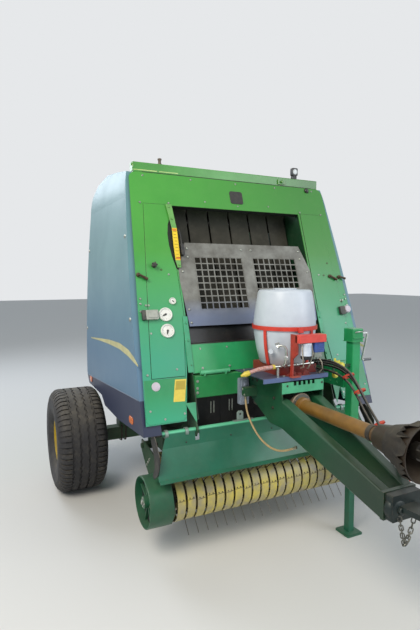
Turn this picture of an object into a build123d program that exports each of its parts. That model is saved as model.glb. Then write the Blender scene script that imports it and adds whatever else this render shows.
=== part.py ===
from build123d import *
import os
from math import atan, atan2, cos, hypot, radians, sin, tan

os.makedirs("parts", exist_ok=True)

# The machine faces -Y, the ground is z 0, left and right are the machine's own sides.

# Front sheet: it leans back as it rises, and all front pieces follow its plane.
FRONT_Y = -100.0
FRONT_Z = 2570.0
LEAN = atan(0.34)
SHEET = 6.0
SURROUND_TOP = 2800.0
SURROUND_FOOT = 1010.0
SURROUND_HALF = 918.0
SURROUND_SPREAD = 0.045
OPENING_TOP = SURROUND_TOP - 250
OPENING_HALF = 600.0
PILLAR_KNEE = 1640.0
PILLAR_FOOT_HALF = 695.0
LIP = 45.0
LIP_SHEET = 4.0

# Chamber walls
WALL_IN = 600.0
WALL = 8.0
WALL_OUT = WALL_IN + WALL
WALL_TOP = SURROUND_TOP - 2
WALL_REAR = 880.0
WALL_LOW = 640.0
RIB = 40.0

# Guard plate with two grilles
GUARD_TOP = 2260.0
GUARD_FOOT = 1640.0
GUARD_SHEET = 4.0
HOLE = 43.0
HOLE_PITCH = 52.0
HOLES = 8
GRILLE_X = 258.5
GRILLE_Z = 1954.5

# Cross members
PANEL_FOOT = 1313.0
PANEL_TOP = 1514.0
RECESS = 50.0
TOP_TUBE = 80.0
TOP_TUBE_HALF = 870.0
TOP_TUBE_Y = 26.0
BEAM_Z = 1220.0
BEAM_HIGH = 160.0
BEAM_FRONT = -560.0
BEAM_DEEP = 100.0

# Rollers and belts
BELTS = 6
BELT_WIDE = 178.0
BELT_PITCH = 195.0
BELT = 6.0
CHAIN = 14.0
CHAIN_WIDE = 16.0
CHAIN_TEETH = 12
SPROCKET_BOSS = 24.0
SPROCKET_SHAFT = 14.0
CROSS_SHAFT = (-430.0, 1225.0)
FIRST_SHAFT = (-238.0, 1180.0)
FLOOR_SHAFT = (20.0, 1150.0)
SPROCKET = 8.0

# Wheels
AXLE_Y = 960.0
TYRE_R = 472.5
TYRE_PITCHES = 30
TYRE_HALF = 220.0
TYRE_X = 1170.0
BEAD_R = 205.0
RIM_HALF = 165.0
HUB_R = 95.0
SPINDLE_R = 35.0
SPINDLE_GAP = 0.3
AXLE_BOX = 120.0
AXLE_HALF = 880.0
GROOVE = 16.0
GROOVE_DEEP = 12.0
GROOVE_X = 58.0

# Side frames
RAIL_X = 720.0
RAIL_WIDE = 80.0
RAIL_HIGH = 120.0
RAIL_Z = 760.0
RAIL_FRONT = -320.0

# Side shields, hinged along their top edges
SHIELD_HINGE_X = 872.0
SHIELD_HINGE_Z = 2820.0
HINGE_ARMS = (320.0, 560.0)
HINGE_ARM = 40.0
HINGE_BOSS_R = 11.0
HINGE_PIN_R = 7.0
HINGE_LEAF = 34.0
SHIELD_SHEET = 8.0
SHIELD_GAP = 16.0
SHIELD_REAR = 1150.0
SHIELD_IN = 880.0

# Tailgate
GATE_Y = 760.0
GATE_Z = 2620.0
GATE_PIN = 30.0
GATE_IN = 613.0
GATE_WALL = 8.0
GATE_RIB = 40.0
GATE_REAR = 2200.0
GATE_MARGIN = 100.0
GATE_EAR_R = 75.0

# Gate cylinders
CYL_X = 720.0
CYL_BASE = (450.0, 1150.0)
CYL_EYE = (1350.0, 2100.0)
CYL_R = 42.0
CYL_NECK_R = 20.0
CYL_LONG = 900.0
ROD_R = 22.0
ROD_GAP = 0.4
PIN_R = 20.0
PIN_GAP = 0.3
EYE_WIDE = 50.0
EYE_R = 40.0

# Pickup
PICK_Y = -500.0
PICK_Z = 432.0
TIP_R = 285.0
BAND_R = 165.0
BAND = 6.0
BANDS = 21
BAND_PITCH = 75.0
BAND_WIDE = 58.0
TINE_BARS = 4
TINE = 6.0
BAR_R = 115.0
BAR = 15.0
PICK_PLATE_X = 800.0
PICK_PLATE = 10.0
PIVOT_Y = 0.0
PIVOT_Z = 650.0
PICK_BEAM = 80.0
PICK_BEAM_Y = -110.0
PICK_BEAM_Z = 560.0
DRUM_R = 180.0
DRUM_OUT = 980.0
DRUM_SHEET = 8.0
DRUM_DEEP = 60.0
DRUM_HUB_R = 42.0
DRUM_SPOKES = 4

# Windguard
WIND_Y = -600.0
WIND_Z = 930.0
WIND_R = 20.0
WIND_HALF = 872.0
WIND_EDGE_HALF = 928.0
WIND_SHEET = 4.0
WIND_FOLD = 90.0
WIND_DROP = 275.0
WIND_OUT = 105.0

# Drawbar and hitch
CONSOLE_HALF = 173.0
CONSOLE_SHEET = 10.0
CONSOLE_FRONT = -1008.0
CONSOLE_FOOT = 1000.0
CONSOLE_TOP = 1300.0
FRONT_PLATE = 76.0
NOTCH_X = 9.0
NOTCHES = 5
NOTCH_PITCH = 38.0
NOTCH = 20.0
NOTCH_DEEP = 26.0
DRAW_SEAT = 140.0
DRAW_HIGH = 190.0
DRAW_WIDE = 70.0
DRAW_FRONT_HIGH = 150.0
DRAW_FRONT = -1822.0
DRAW_FRONT_Z = 820.0
DRAW_FRONT_X = 80.0
DRAW_REAR_Z = 1086.0
HITCH_BLOCK = 48.0
EYE_Y = -2050.0
EYE_HOLE_R = 25.0
EYE_RING_R = 55.0
EYE_THICK = 30.0

# Drive line
PTO_Z = 1130.0
COLLAR_R = 75.0
GUARD_R = 44.0
GUARD_BORE = 38.0
SHAFT_R = 25.0
SHAFT_GAP = 0.4
GUARD_FRONT = -1690.0
CONE_FRONT = -2000.0
CONE_R = 150.0
CONE_WALL = 5.0
YOKE_FRONT = -2200.0
YOKE_R = 45.0
YOKE_BORE = 17.5
YOKE_BORE_DEEP = 90.0

# Jack
JACK_X = 600.0
JACK_Y = -830.0
JACK_TUBE = 76.0
JACK_WALL = 11.5
JACK_LEG = 52.0
JACK_FOOT = 150.0
JACK_FOOT_HIGH = 12.0
JACK_TUBE_LOW = 700.0
JACK_HEAD = 1612.0
JACK_CAP = 104.0
JACK_CAP_HIGH = 95.0
CRANK_Z = 1570.0
CRANK_ARM = 215.0
CRANK_LEAN = 30.0
CRANK_GRIP = 125.0

# Shelf and additive tank
SHELF_X = -45.0
SHELF_HALF = 265.0
SHELF_TOP = 1335.0
SHELF_FRONT = -1000.0
SHELF_REAR = -620.0
SHELF_SHEET = 6.0
SHELF_LIP = 30.0
TANK_X = 0.0
TANK_Y = -780.0
TANK_R = 222.0
TANK_FOOT_R = 175.0
TANK_TOP_R = 172.0
TANK_FOOT = SHELF_TOP + 60
TANK_TOP = TANK_FOOT + 517
TANK_BAND_Z = TANK_FOOT + 257

# Pump
HOOD_X = 8.0
HOOD_Y = -1072.0
HOOD_WIDE = 212.0
HOOD_DEEP = 60.0
HOOD_HIGH = 54.0
HOOD_SHEET = 4.0
HOOD_FOOT = 12.0
HOOD_LOW = SHELF_TOP + 234
BOWL_R = 24.0
BOWL_DROP = 110.0

FRONT = Plane(origin=(0, FRONT_Y, FRONT_Z), x_dir=(1, 0, 0), z_dir=(0, -cos(LEAN), sin(LEAN)))


def rise(z):
    """Distance along the front sheet from its reference line to the height z."""
    return (z - FRONT_Z) / cos(LEAN)


def front_at(z, behind=0.0):
    """Y of the front sheet's face at the height z, or of a plane that lies behind it."""
    return FRONT_Y - (FRONT_Z - z) * sin(LEAN) / cos(LEAN) + behind / cos(LEAN)


def half_at(z):
    """Half width of the surround at the height z."""
    return SURROUND_HALF + SURROUND_SPREAD * (FRONT_Z - z)


def side_plane(x):
    """Plane of a side view at x, with local axes (Y, Z)."""
    return Plane.YZ.offset(x)


def cross_plane(y):
    """Plane of a front view at y, with local axes (X, Z), facing the front."""
    return Plane.XZ.offset(-y)


# Front surround: one pressed sheet with pillars, a header and a lip round the opening.
with BuildPart() as front_surround:
    with BuildSketch(FRONT.offset(-SHEET)) as outline:
        with BuildLine():
            Polyline(
                (-half_at(SURROUND_FOOT), rise(SURROUND_FOOT)),
                (-half_at(SURROUND_TOP), rise(SURROUND_TOP)),
                (half_at(SURROUND_TOP), rise(SURROUND_TOP)),
                (half_at(SURROUND_FOOT), rise(SURROUND_FOOT)),
                close=True,
            )
        make_face()
        fillet(outline.vertices().group_by(Axis.Y)[-1], radius=60)
        with BuildLine():
            Polyline(
                (-PILLAR_FOOT_HALF, rise(SURROUND_FOOT) - 1),
                (-OPENING_HALF, rise(PILLAR_KNEE)),
                (-OPENING_HALF, rise(OPENING_TOP)),
                (OPENING_HALF, rise(OPENING_TOP)),
                (OPENING_HALF, rise(PILLAR_KNEE)),
                (PILLAR_FOOT_HALF, rise(SURROUND_FOOT) - 1),
                close=True,
            )
        make_face(mode=Mode.SUBTRACT)
    extrude(amount=SHEET)
    with BuildSketch(FRONT.offset(-SHEET)):
        with Locations((0, rise(OPENING_TOP) + LIP_SHEET / 2)):
            Rectangle(2 * OPENING_HALF, LIP_SHEET)
    extrude(amount=-LIP)

# Top cross tube
with BuildPart() as top_tube:
    with BuildSketch(side_plane(-TOP_TUBE_HALF)):
        with Locations((TOP_TUBE_Y, WALL_TOP + TOP_TUBE / 2)):
            RectangleRounded(TOP_TUBE, TOP_TUBE, 8)
            Rectangle(TOP_TUBE - 12, TOP_TUBE - 12, mode=Mode.SUBTRACT)
    extrude(amount=2 * TOP_TUBE_HALF)

# Guard plate over the belts, with two grilles of square holes and a lip along its top
with BuildPart() as guard_plate:
    with BuildSketch(FRONT):
        with BuildLine():
            Polyline(
                (-578, rise(GUARD_FOOT)),
                (-608, rise(1950)),
                (-608, rise(2050)),
                (-530, rise(GUARD_TOP)),
                (530, rise(GUARD_TOP)),
                (608, rise(2050)),
                (608, rise(1950)),
                (578, rise(GUARD_FOOT)),
                close=True,
            )
        make_face()
        for x in (-GRILLE_X, GRILLE_X):
            with Locations((x, rise(GRILLE_Z))):
                with GridLocations(HOLE_PITCH, HOLE_PITCH, HOLES, HOLES):
                    Rectangle(HOLE, HOLE, mode=Mode.SUBTRACT)
    extrude(amount=GUARD_SHEET)
    with BuildSketch(FRONT):
        with Locations((0, rise(GUARD_TOP) - GUARD_SHEET / 2)):
            Rectangle(1060, GUARD_SHEET)
    extrude(amount=-30)

# Sloping panel whose top folds back into a recess behind the guard plate's foot, and the cross beam
with BuildPart() as lower_panel:
    with BuildSketch(side_plane(-WALL_IN)):
        with BuildLine():
            Polyline(
                (front_at(PANEL_FOOT, SHEET / 2), PANEL_FOOT),
                (front_at(PANEL_TOP, SHEET / 2), PANEL_TOP),
                (front_at(PANEL_TOP, RECESS), PANEL_TOP),
                (front_at(GUARD_FOOT + 20, RECESS), GUARD_FOOT + 20),
            )
        trace(line_width=SHEET)
    extrude(amount=2 * WALL_IN)

with BuildPart() as lower_beam:
    with BuildSketch(side_plane(-WALL_IN)):
        with Locations((BEAM_FRONT + BEAM_DEEP / 2, BEAM_Z)):
            RectangleRounded(BEAM_DEEP, BEAM_HIGH, 8)
    extrude(amount=2 * WALL_IN)

# Chamber walls, each a plate with ribs, roller bosses and the pins that it carries
WALL_OUTLINE = (
    (front_at(SURROUND_FOOT, SHEET), SURROUND_FOOT),
    (front_at(WALL_TOP, SHEET), WALL_TOP),
    (620, WALL_TOP),
    (850, 2710),
    (WALL_REAR, 2500),
    (WALL_REAR, 700),
    (1060, 600),
    (1060, 532.5),
    (860, 532.5),
    (400, WALL_LOW),
    (-60, WALL_LOW),
    (-330, 900),
)
FRONT_ROLLERS = (
    # y, z, radius
    (-238, 1180, 100),
    (165, 2560, 60),
    (330, 2480, 60),
    (20, 1150, 60),
)
with BuildPart() as chamber_wall:
    with BuildSketch(side_plane(WALL_IN)):
        with BuildLine():
            Polyline(*WALL_OUTLINE, close=True)
        make_face()
    extrude(amount=WALL)
    with BuildSketch(side_plane(WALL_OUT)):
        for start, end in (
            ((-330, 1640), (600, 1640)),
            ((-120, 2300), (600, 2300)),
            ((-450, 1060), (600, 1060)),
            ((600, 700), (600, 2600)),
        ):
            with BuildLine():
                Line(start, end)
            trace(line_width=RIB)
    extrude(amount=RIB)
    with BuildSketch(side_plane(WALL_OUT)):
        for y, z, radius in FRONT_ROLLERS:
            with Locations((y, z)):
                Circle(45)
    extrude(amount=RIB)
    with BuildSketch(side_plane(WALL_OUT)):
        with Locations(CYL_BASE):
            Circle(EYE_R + 10)
    extrude(amount=CYL_X - EYE_WIDE / 2 - 5 - WALL_OUT)
    with BuildSketch(side_plane(WALL_OUT)):
        with Locations(CYL_BASE):
            Circle(PIN_R)
    extrude(amount=CYL_X + EYE_WIDE / 2 + 8 - WALL_OUT)
    with BuildSketch(side_plane(WALL_OUT)):
        with Locations((GATE_Y, GATE_Z)):
            Circle(GATE_PIN)
    extrude(amount=GATE_IN + GATE_WALL + 20 - WALL_OUT)

# Rollers of the front belts
with BuildPart() as front_rollers:
    with BuildSketch(side_plane(-WALL_IN)):
        for y, z, radius in FRONT_ROLLERS:
            with Locations((y, z)):
                Circle(radius)
    extrude(amount=2 * WALL_IN)

with BuildPart() as front_belts:
    for row in range(BELTS):
        start = (row - (BELTS - 1) / 2) * BELT_PITCH - BELT_WIDE / 2
        with BuildSketch(side_plane(start)):
            for y, z, radius in FRONT_ROLLERS:
                with Locations((y, z)):
                    Circle(radius + BELT)
            make_hull()
            offset(amount=-BELT, mode=Mode.SUBTRACT)
        extrude(amount=BELT_WIDE)

# Chain drive on the left wall: from the cross shaft to the first roller and on to the floor roller
CHAINS = (
    # x, first wheel's shaft and radius, second wheel's shaft and radius
    (WALL_OUT + RIB + 4, (CROSS_SHAFT, 52), (FIRST_SHAFT, 86)),
    (WALL_OUT + RIB + 28, (FIRST_SHAFT, 52), (FLOOR_SHAFT, 70)),
)
with BuildPart() as drive_chains:
    with BuildSketch(side_plane(WALL_OUT)):
        with Locations(CROSS_SHAFT):
            RegularPolygon(SPROCKET_BOSS, CHAIN_TEETH)
    extrude(amount=RIB)
    with BuildSketch(side_plane(WALL_OUT + RIB)):
        with Locations(CROSS_SHAFT, FIRST_SHAFT, FLOOR_SHAFT):
            RegularPolygon(SPROCKET_SHAFT, 6)
    extrude(amount=28 + CHAIN_WIDE)
    for x, *wheels in CHAINS:
        with BuildSketch(side_plane(x)):
            for shaft, radius in wheels:
                with Locations(shaft):
                    RegularPolygon(radius + CHAIN / 2, CHAIN_TEETH)
            make_hull()
            offset(amount=-CHAIN, kind=Kind.INTERSECTION, mode=Mode.SUBTRACT)
        extrude(amount=CHAIN_WIDE)
        with BuildSketch(side_plane(x + CHAIN_WIDE / 2 - SPROCKET / 2)):
            for shaft, radius in wheels:
                with Locations(shaft):
                    RegularPolygon(radius, CHAIN_TEETH)
        extrude(amount=SPROCKET)

# Axle beam with its spindles
with BuildPart() as axle:
    with BuildSketch(side_plane(-AXLE_HALF)):
        with Locations((AXLE_Y, TYRE_R)):
            RectangleRounded(AXLE_BOX, AXLE_BOX, 10)
    extrude(amount=2 * AXLE_HALF)
    with BuildSketch(side_plane(-TYRE_X - 40)):
        with Locations((AXLE_Y, TYRE_R)):
            Circle(SPINDLE_R)
    extrude(amount=2 * (TYRE_X + 40))

# Side frames: a rail, posts to the wall, a hanger to the axle and the pickup's pivot pin
with BuildPart() as side_frame:
    with BuildSketch(side_plane(RAIL_X - RAIL_WIDE / 2)):
        with BuildLine():
            Polyline(
                (RAIL_FRONT, RAIL_Z - RAIL_HIGH / 2),
                (RAIL_FRONT, RAIL_Z + RAIL_HIGH / 2),
                (1020, RAIL_Z + RAIL_HIGH / 2),
                (1020, TYRE_R + AXLE_BOX / 2),
                (900, TYRE_R + AXLE_BOX / 2),
                (900, RAIL_Z - RAIL_HIGH / 2),
                close=True,
            )
        make_face()
    extrude(amount=RAIL_WIDE)
    for y in (-200, 500):
        with BuildSketch(side_plane(WALL_OUT)):
            with Locations((y, RAIL_Z)):
                Rectangle(60, RAIL_HIGH - 20)
        extrude(amount=RAIL_X - RAIL_WIDE / 2 - WALL_OUT)
    with BuildSketch(side_plane(WALL_OUT)):
        with Locations((PIVOT_Y, PIVOT_Z)):
            Circle(32)
    extrude(amount=PICK_PLATE_X - 3 - WALL_OUT)
    with BuildSketch(side_plane(WALL_OUT)):
        with Locations((PIVOT_Y, PIVOT_Z)):
            Circle(PIN_R)
    extrude(amount=PICK_PLATE_X + PICK_PLATE + 15 - WALL_OUT)
    with BuildSketch(side_plane(WALL_OUT)):
        with Locations((PIVOT_Y, 690)):
            Rectangle(50, 40)
    extrude(amount=RAIL_X + RAIL_WIDE / 2 - WALL_OUT)

# Brackets that carry the windguard's tube
with BuildPart() as windguard_bracket:
    with BuildSketch(side_plane(WALL_OUT)):
        with BuildLine():
            Polyline(
                (WIND_Y + 130, WIND_Z + 140),
                (WIND_Y + 10, WIND_Z + 80),
                (WIND_Y - 40, WIND_Z + 10),
                (WIND_Y - 10, WIND_Z - 45),
                (WIND_Y + 130, WIND_Z + 10),
                close=True,
            )
        make_face()
        with Locations((WIND_Y, WIND_Z)):
            Circle(WIND_R + PIN_GAP, mode=Mode.SUBTRACT)
    extrude(amount=12)

# Windguard: a folded sheet that widens towards its lower edge, hung on a tube between the brackets
WIND_EDGE_Y = WIND_Y - WIND_OUT
WIND_EDGE_Z = WIND_Z - WIND_DROP
with BuildPart() as windguard:
    with BuildSketch(side_plane(-WIND_EDGE_HALF)):
        with BuildLine():
            Polyline(
                (WIND_Y - WIND_R + 2, WIND_Z),
                (WIND_Y - 32, WIND_Z - WIND_FOLD),
                (WIND_EDGE_Y, WIND_EDGE_Z),
                (WIND_EDGE_Y - 35, WIND_EDGE_Z - 12),
            )
        trace(line_width=WIND_SHEET)
    extrude(amount=2 * WIND_EDGE_HALF)
    with BuildSketch(cross_plane(WIND_Y + 60)):
        with BuildLine():
            Polyline(
                (-WIND_HALF + 30, WIND_Z + 10),
                (WIND_HALF - 30, WIND_Z + 10),
                (WIND_EDGE_HALF, WIND_EDGE_Z + 20),
                (WIND_EDGE_HALF, WIND_EDGE_Z - 40),
                (-WIND_EDGE_HALF, WIND_EDGE_Z - 40),
                (-WIND_EDGE_HALF, WIND_EDGE_Z + 20),
                close=True,
            )
        make_face()
    extrude(amount=300, mode=Mode.INTERSECT)
    with BuildSketch(cross_plane(WIND_Y + 60)):
        for side in (-1, 1):
            with Locations((side * (WALL_OUT + 6), WIND_Z)):
                Rectangle(32, 130)
    extrude(amount=160, mode=Mode.SUBTRACT)
    with BuildSketch(side_plane(-WIND_HALF)):
        with Locations((WIND_Y, WIND_Z)):
            Circle(WIND_R)
    extrude(amount=2 * WIND_HALF)

# Tyres: one pitch of the carcass with its tread grooves and shoulder notches, repeated round the wheel
wheel_axis = Axis((0, AXLE_Y, TYRE_R), (1, 0, 0))
WHEEL = Plane(origin=(TYRE_X, AXLE_Y, TYRE_R), x_dir=(1, 0, 0), z_dir=(0, -1, 0))
TYRE_SIDE = (
    # half width, radius
    (RIM_HALF, BEAD_R + 18),
    (TYRE_HALF - 16, 268),
    (TYRE_HALF, 345),
    (TYRE_HALF - 22, 432),
    (TYRE_HALF - 48, TYRE_R - 6),
)
half_turn = radians(180 / TYRE_PITCHES)
with BuildPart() as tyre_pitch:
    with BuildSketch(WHEEL):
        with BuildLine():
            Polyline(
                (-135, BEAD_R),
                (-RIM_HALF, BEAD_R),
                *[(-x, radius) for x, radius in TYRE_SIDE],
                (0, TYRE_R),
                *[(x, radius) for x, radius in reversed(TYRE_SIDE)],
                (RIM_HALF, BEAD_R),
                (135, BEAD_R),
                (TYRE_HALF - 28, 325),
                (TYRE_HALF - 60, 430),
                (60 - TYRE_HALF, 430),
                (28 - TYRE_HALF, 325),
                close=True,
            )
        make_face()
        for x in (-GROOVE_X, GROOVE_X):
            with Locations((x, TYRE_R)):
                Rectangle(GROOVE, 2 * GROOVE_DEEP, mode=Mode.SUBTRACT)
    extrude(amount=TYRE_R * tan(half_turn), both=True)
    with BuildSketch(side_plane(TYRE_X - TYRE_HALF)):
        with BuildLine():
            Polyline(
                (AXLE_Y, TYRE_R),
                (AXLE_Y - 2 * TYRE_R * tan(half_turn), 3 * TYRE_R),
                (AXLE_Y + 2 * TYRE_R * tan(half_turn), 3 * TYRE_R),
                close=True,
            )
        make_face()
    extrude(amount=2 * TYRE_HALF, mode=Mode.INTERSECT)
    with BuildSketch(Plane.XY.offset(2 * TYRE_R - 30)):
        for side in (-1, 1):
            with Locations((TYRE_X + side * (TYRE_HALF - 20), AXLE_Y)):
                Rectangle(64, 26)
    extrude(amount=60, mode=Mode.SUBTRACT)
with BuildPart() as tyre:
    for turn in range(TYRE_PITCHES):
        add(tyre_pitch.part.rotate(wheel_axis, 360 / TYRE_PITCHES * turn))

# Rims with dished discs and hubs
with BuildPart() as rim:
    with BuildSketch(WHEEL):
        with BuildLine():
            Polyline(
                (-RIM_HALF, BEAD_R + 12),
                (-RIM_HALF, BEAD_R - 0.3),
                (-135, BEAD_R - 0.3),
                (-100, 178),
                (60, 178),
                (110, BEAD_R - 0.3),
                (RIM_HALF, BEAD_R - 0.3),
                (RIM_HALF, BEAD_R + 12),
                (RIM_HALF + 6, BEAD_R + 12),
                (RIM_HALF + 6, BEAD_R - 6),
                (115, BEAD_R - 7),
                (66, 171),
                (40, 160),
                (-20, 125),
                (-20, HUB_R),
                (62, HUB_R - 12),
                (70, 50),
                (70, SPINDLE_R + SPINDLE_GAP),
                (-120, SPINDLE_R + SPINDLE_GAP),
                (-120, 75),
                (-40, 80),
                (-28, 118),
                (20, 171),
                (-103, 171),
                (-140, BEAD_R - 8),
                (-RIM_HALF - 6, BEAD_R - 6),
                (-RIM_HALF - 6, BEAD_R + 12),
                close=True,
            )
        make_face()
    revolve(axis=wheel_axis)

# Side shields: bowed shells with turned-in edges, cut to the side outline
SHIELD_OUTLINE = (
    (front_at(940, SHIELD_GAP), 940),
    (front_at(SURROUND_TOP, SHIELD_GAP), SURROUND_TOP),
    (300, 2850),
    (700, 2900),
    (1000, 2860),
    (1130, 2760),
    (SHIELD_REAR, 2650),
    (SHIELD_REAR + 10, 1060),
    (1080, 965),
    (560, 960),
    (440, 892),
    (0, 888),
)


def shield_body(inset):
    """Solid inside the shield's side outline and its bowed face, both moved in by inset."""
    with BuildPart() as body:
        with BuildSketch(side_plane(SHIELD_IN)):
            with BuildLine():
                Polyline(*SHIELD_OUTLINE, close=True)
            make_face()
            if inset:
                offset(amount=-inset, kind=Kind.INTERSECTION)
        extrude(amount=150, dir=(1, 0, 0))
        with BuildSketch(cross_plane(-700)):
            with BuildLine():
                Line((700, 800), (1005 - inset, 800))
                ThreePointArc((1005 - inset, 800), (1000 - inset, 1700), (945 - inset, 2600))
                ThreePointArc((945 - inset, 2600), (925 - inset, 2770), (880 - inset, 2920))
                Line((880 - inset, 2920), (700, 2920))
                Line((700, 2920), (700, 800))
            make_face()
        extrude(amount=2000, dir=(0, 1, 0), mode=Mode.INTERSECT)
    return body.part


with BuildPart() as side_shield:
    add(shield_body(0))
    add(shield_body(SHIELD_SHEET), mode=Mode.SUBTRACT)
    for arm_y in HINGE_ARMS:
        leaf_planes = [
            cross_plane(arm_y + HINGE_ARM / 2 + PIN_GAP + HINGE_LEAF),
            cross_plane(arm_y - HINGE_ARM / 2 - PIN_GAP),
        ]
        with BuildSketch(*leaf_planes):
            with Locations((SHIELD_HINGE_X, SHIELD_HINGE_Z)):
                Circle(HINGE_BOSS_R)
                with Locations((20, 0)):
                    Rectangle(40, 8)
        extrude(amount=HINGE_LEAF)
        with BuildSketch(*leaf_planes):
            with Locations((SHIELD_HINGE_X, SHIELD_HINGE_Z)):
                Circle(HINGE_PIN_R + PIN_GAP)
        extrude(amount=HINGE_LEAF, mode=Mode.SUBTRACT)

# Arms on the chamber walls that carry the shields' hinge pins
with BuildPart() as shield_arm:
    for arm_y in HINGE_ARMS:
        arm_plane = cross_plane(arm_y + HINGE_ARM / 2)
        with BuildSketch(arm_plane):
            with BuildLine():
                Polyline(
                    (WALL_OUT, SHIELD_HINGE_Z - 30 - HINGE_ARM),
                    (WALL_OUT, SHIELD_HINGE_Z - 30),
                    (SHIELD_HINGE_X - HINGE_BOSS_R, SHIELD_HINGE_Z - 30),
                    (SHIELD_HINGE_X - HINGE_BOSS_R, SHIELD_HINGE_Z),
                    (SHIELD_HINGE_X + HINGE_BOSS_R, SHIELD_HINGE_Z),
                    (SHIELD_HINGE_X + HINGE_BOSS_R, SHIELD_HINGE_Z - 30 - HINGE_ARM),
                    close=True,
                )
            make_face()
            with Locations((SHIELD_HINGE_X, SHIELD_HINGE_Z)):
                Circle(HINGE_BOSS_R)
        extrude(amount=HINGE_ARM)
        with BuildSketch(cross_plane(arm_y + HINGE_ARM / 2 + HINGE_LEAF + 10)):
            with Locations((SHIELD_HINGE_X, SHIELD_HINGE_Z)):
                Circle(HINGE_PIN_R)
        extrude(amount=HINGE_ARM + 2 * HINGE_LEAF + 20)

# Tailgate sides
GATE_ROLLERS = (
    # y, z, radius
    (1010, 740, 75),
    (1690, 745, 75),
    (2010, 1250, 60),
    (GATE_REAR - GATE_MARGIN - 60, 1640, 60),
    (1890, 2040, 60),
    (1500, 2440, 60),
    (1000, 2540, 60),
)
with BuildPart() as tailgate_side:
    with BuildSketch(side_plane(GATE_IN)):
        for y, z, radius in GATE_ROLLERS:
            with Locations((y, z)):
                Circle(radius + GATE_MARGIN)
        with Locations((GATE_Y, GATE_Z)):
            Circle(GATE_EAR_R)
        make_hull()
        with Locations((GATE_Y, GATE_Z)):
            Circle(GATE_PIN + PIN_GAP, mode=Mode.SUBTRACT)
    extrude(amount=GATE_WALL)
    with BuildSketch(side_plane(GATE_IN + GATE_WALL)):
        for y, z, radius in GATE_ROLLERS:
            with Locations((y, z)):
                Circle(radius + GATE_MARGIN)
        make_hull()
        offset(amount=-GATE_RIB, mode=Mode.SUBTRACT)
        with Locations((1500, 1500)):
            Rectangle(1140, GATE_RIB)
    extrude(amount=GATE_RIB)
    with BuildSketch(side_plane(GATE_IN + GATE_WALL)):
        with Locations(CYL_EYE):
            Circle(EYE_R + 5)
    extrude(amount=CYL_X - EYE_WIDE / 2 - 5 - GATE_IN - GATE_WALL)

with BuildPart() as tailgate_rollers:
    with BuildSketch(side_plane(-GATE_IN)):
        for y, z, radius in GATE_ROLLERS:
            with Locations((y, z)):
                Circle(radius)
    extrude(amount=2 * GATE_IN)

with BuildPart() as tailgate_belts:
    for row in range(BELTS):
        start = (row - (BELTS - 1) / 2) * BELT_PITCH - BELT_WIDE / 2
        with BuildSketch(side_plane(start)):
            for y, z, radius in GATE_ROLLERS:
                with Locations((y, z)):
                    Circle(radius + BELT)
            make_hull()
            offset(amount=-BELT, mode=Mode.SUBTRACT)
        extrude(amount=BELT_WIDE)

# Cross members of the tailgate, behind the belts
with BuildPart() as tailgate_frame:
    for y, z, deep, high in ((2160, 1640, 60, 110), (1835, 660, 90, 90), (1590, 2545, 90, 60)):
        with BuildSketch(side_plane(-GATE_IN)):
            with Locations((y, z)):
                RectangleRounded(deep, high, 8)
        extrude(amount=2 * GATE_IN)

# Gate cylinders: a barrel pinned to the chamber wall and a rod whose eye is at the tailgate
cyl_angle = atan2(CYL_EYE[1] - CYL_BASE[1], CYL_EYE[0] - CYL_BASE[0])
cyl_length = hypot(CYL_EYE[1] - CYL_BASE[1], CYL_EYE[0] - CYL_BASE[0])
CYLINDER = Plane(
    origin=(CYL_X, CYL_BASE[0], CYL_BASE[1]),
    x_dir=(1, 0, 0),
    z_dir=(0, cos(cyl_angle), sin(cyl_angle)),
)
with BuildPart() as gate_barrel:
    with BuildSketch(side_plane(CYL_X - EYE_WIDE / 2)):
        with Locations(CYL_BASE):
            Circle(EYE_R)
    extrude(amount=EYE_WIDE)
    with BuildSketch(CYLINDER.offset(30)):
        Circle(CYL_NECK_R)
    extrude(amount=50)
    with BuildSketch(CYLINDER.offset(70)):
        Circle(CYL_R)
    extrude(amount=CYL_LONG - 70)
    with BuildSketch(CYLINDER.offset(100)):
        Circle(ROD_R + ROD_GAP)
    extrude(amount=CYL_LONG, mode=Mode.SUBTRACT)
    with BuildSketch(side_plane(CYL_X - EYE_WIDE)):
        with Locations(CYL_BASE):
            Circle(PIN_R + PIN_GAP)
    extrude(amount=2 * EYE_WIDE, mode=Mode.SUBTRACT)

with BuildPart() as gate_rod:
    with BuildSketch(CYLINDER.offset(130)):
        Circle(ROD_R)
    extrude(amount=cyl_length - 130 - 20)
    with BuildSketch(side_plane(CYL_X - EYE_WIDE / 2)):
        with Locations(CYL_EYE):
            Circle(EYE_R)
    extrude(amount=EYE_WIDE)

# Pickup: side plates, end drums, beam, stripper bands and the tined reel
with BuildPart() as pickup_side:
    with BuildSketch(side_plane(PICK_PLATE_X)):
        with BuildLine():
            Polyline(
                (PICK_Y - 180, PICK_Z - 40),
                (PICK_Y - 100, PICK_Z + 140),
                (PICK_Y + 20, PICK_Z + 185),
                (PIVOT_Y - 60, PIVOT_Z + 40),
                (PIVOT_Y + 40, PIVOT_Z + 40),
                (PIVOT_Y + 45, PIVOT_Z - 40),
                (PICK_BEAM_Y + 50, PICK_BEAM_Z - 45),
                (PICK_Y + 170, PICK_Z - 120),
                (PICK_Y - 100, PICK_Z - 150),
                close=True,
            )
        make_face()
        with Locations((PIVOT_Y, PIVOT_Z)):
            Circle(PIN_R + PIN_GAP, mode=Mode.SUBTRACT)
        with Locations((PICK_Y, PICK_Z)):
            Circle(SHAFT_R + PIN_GAP, mode=Mode.SUBTRACT)
    extrude(amount=PICK_PLATE)

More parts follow.
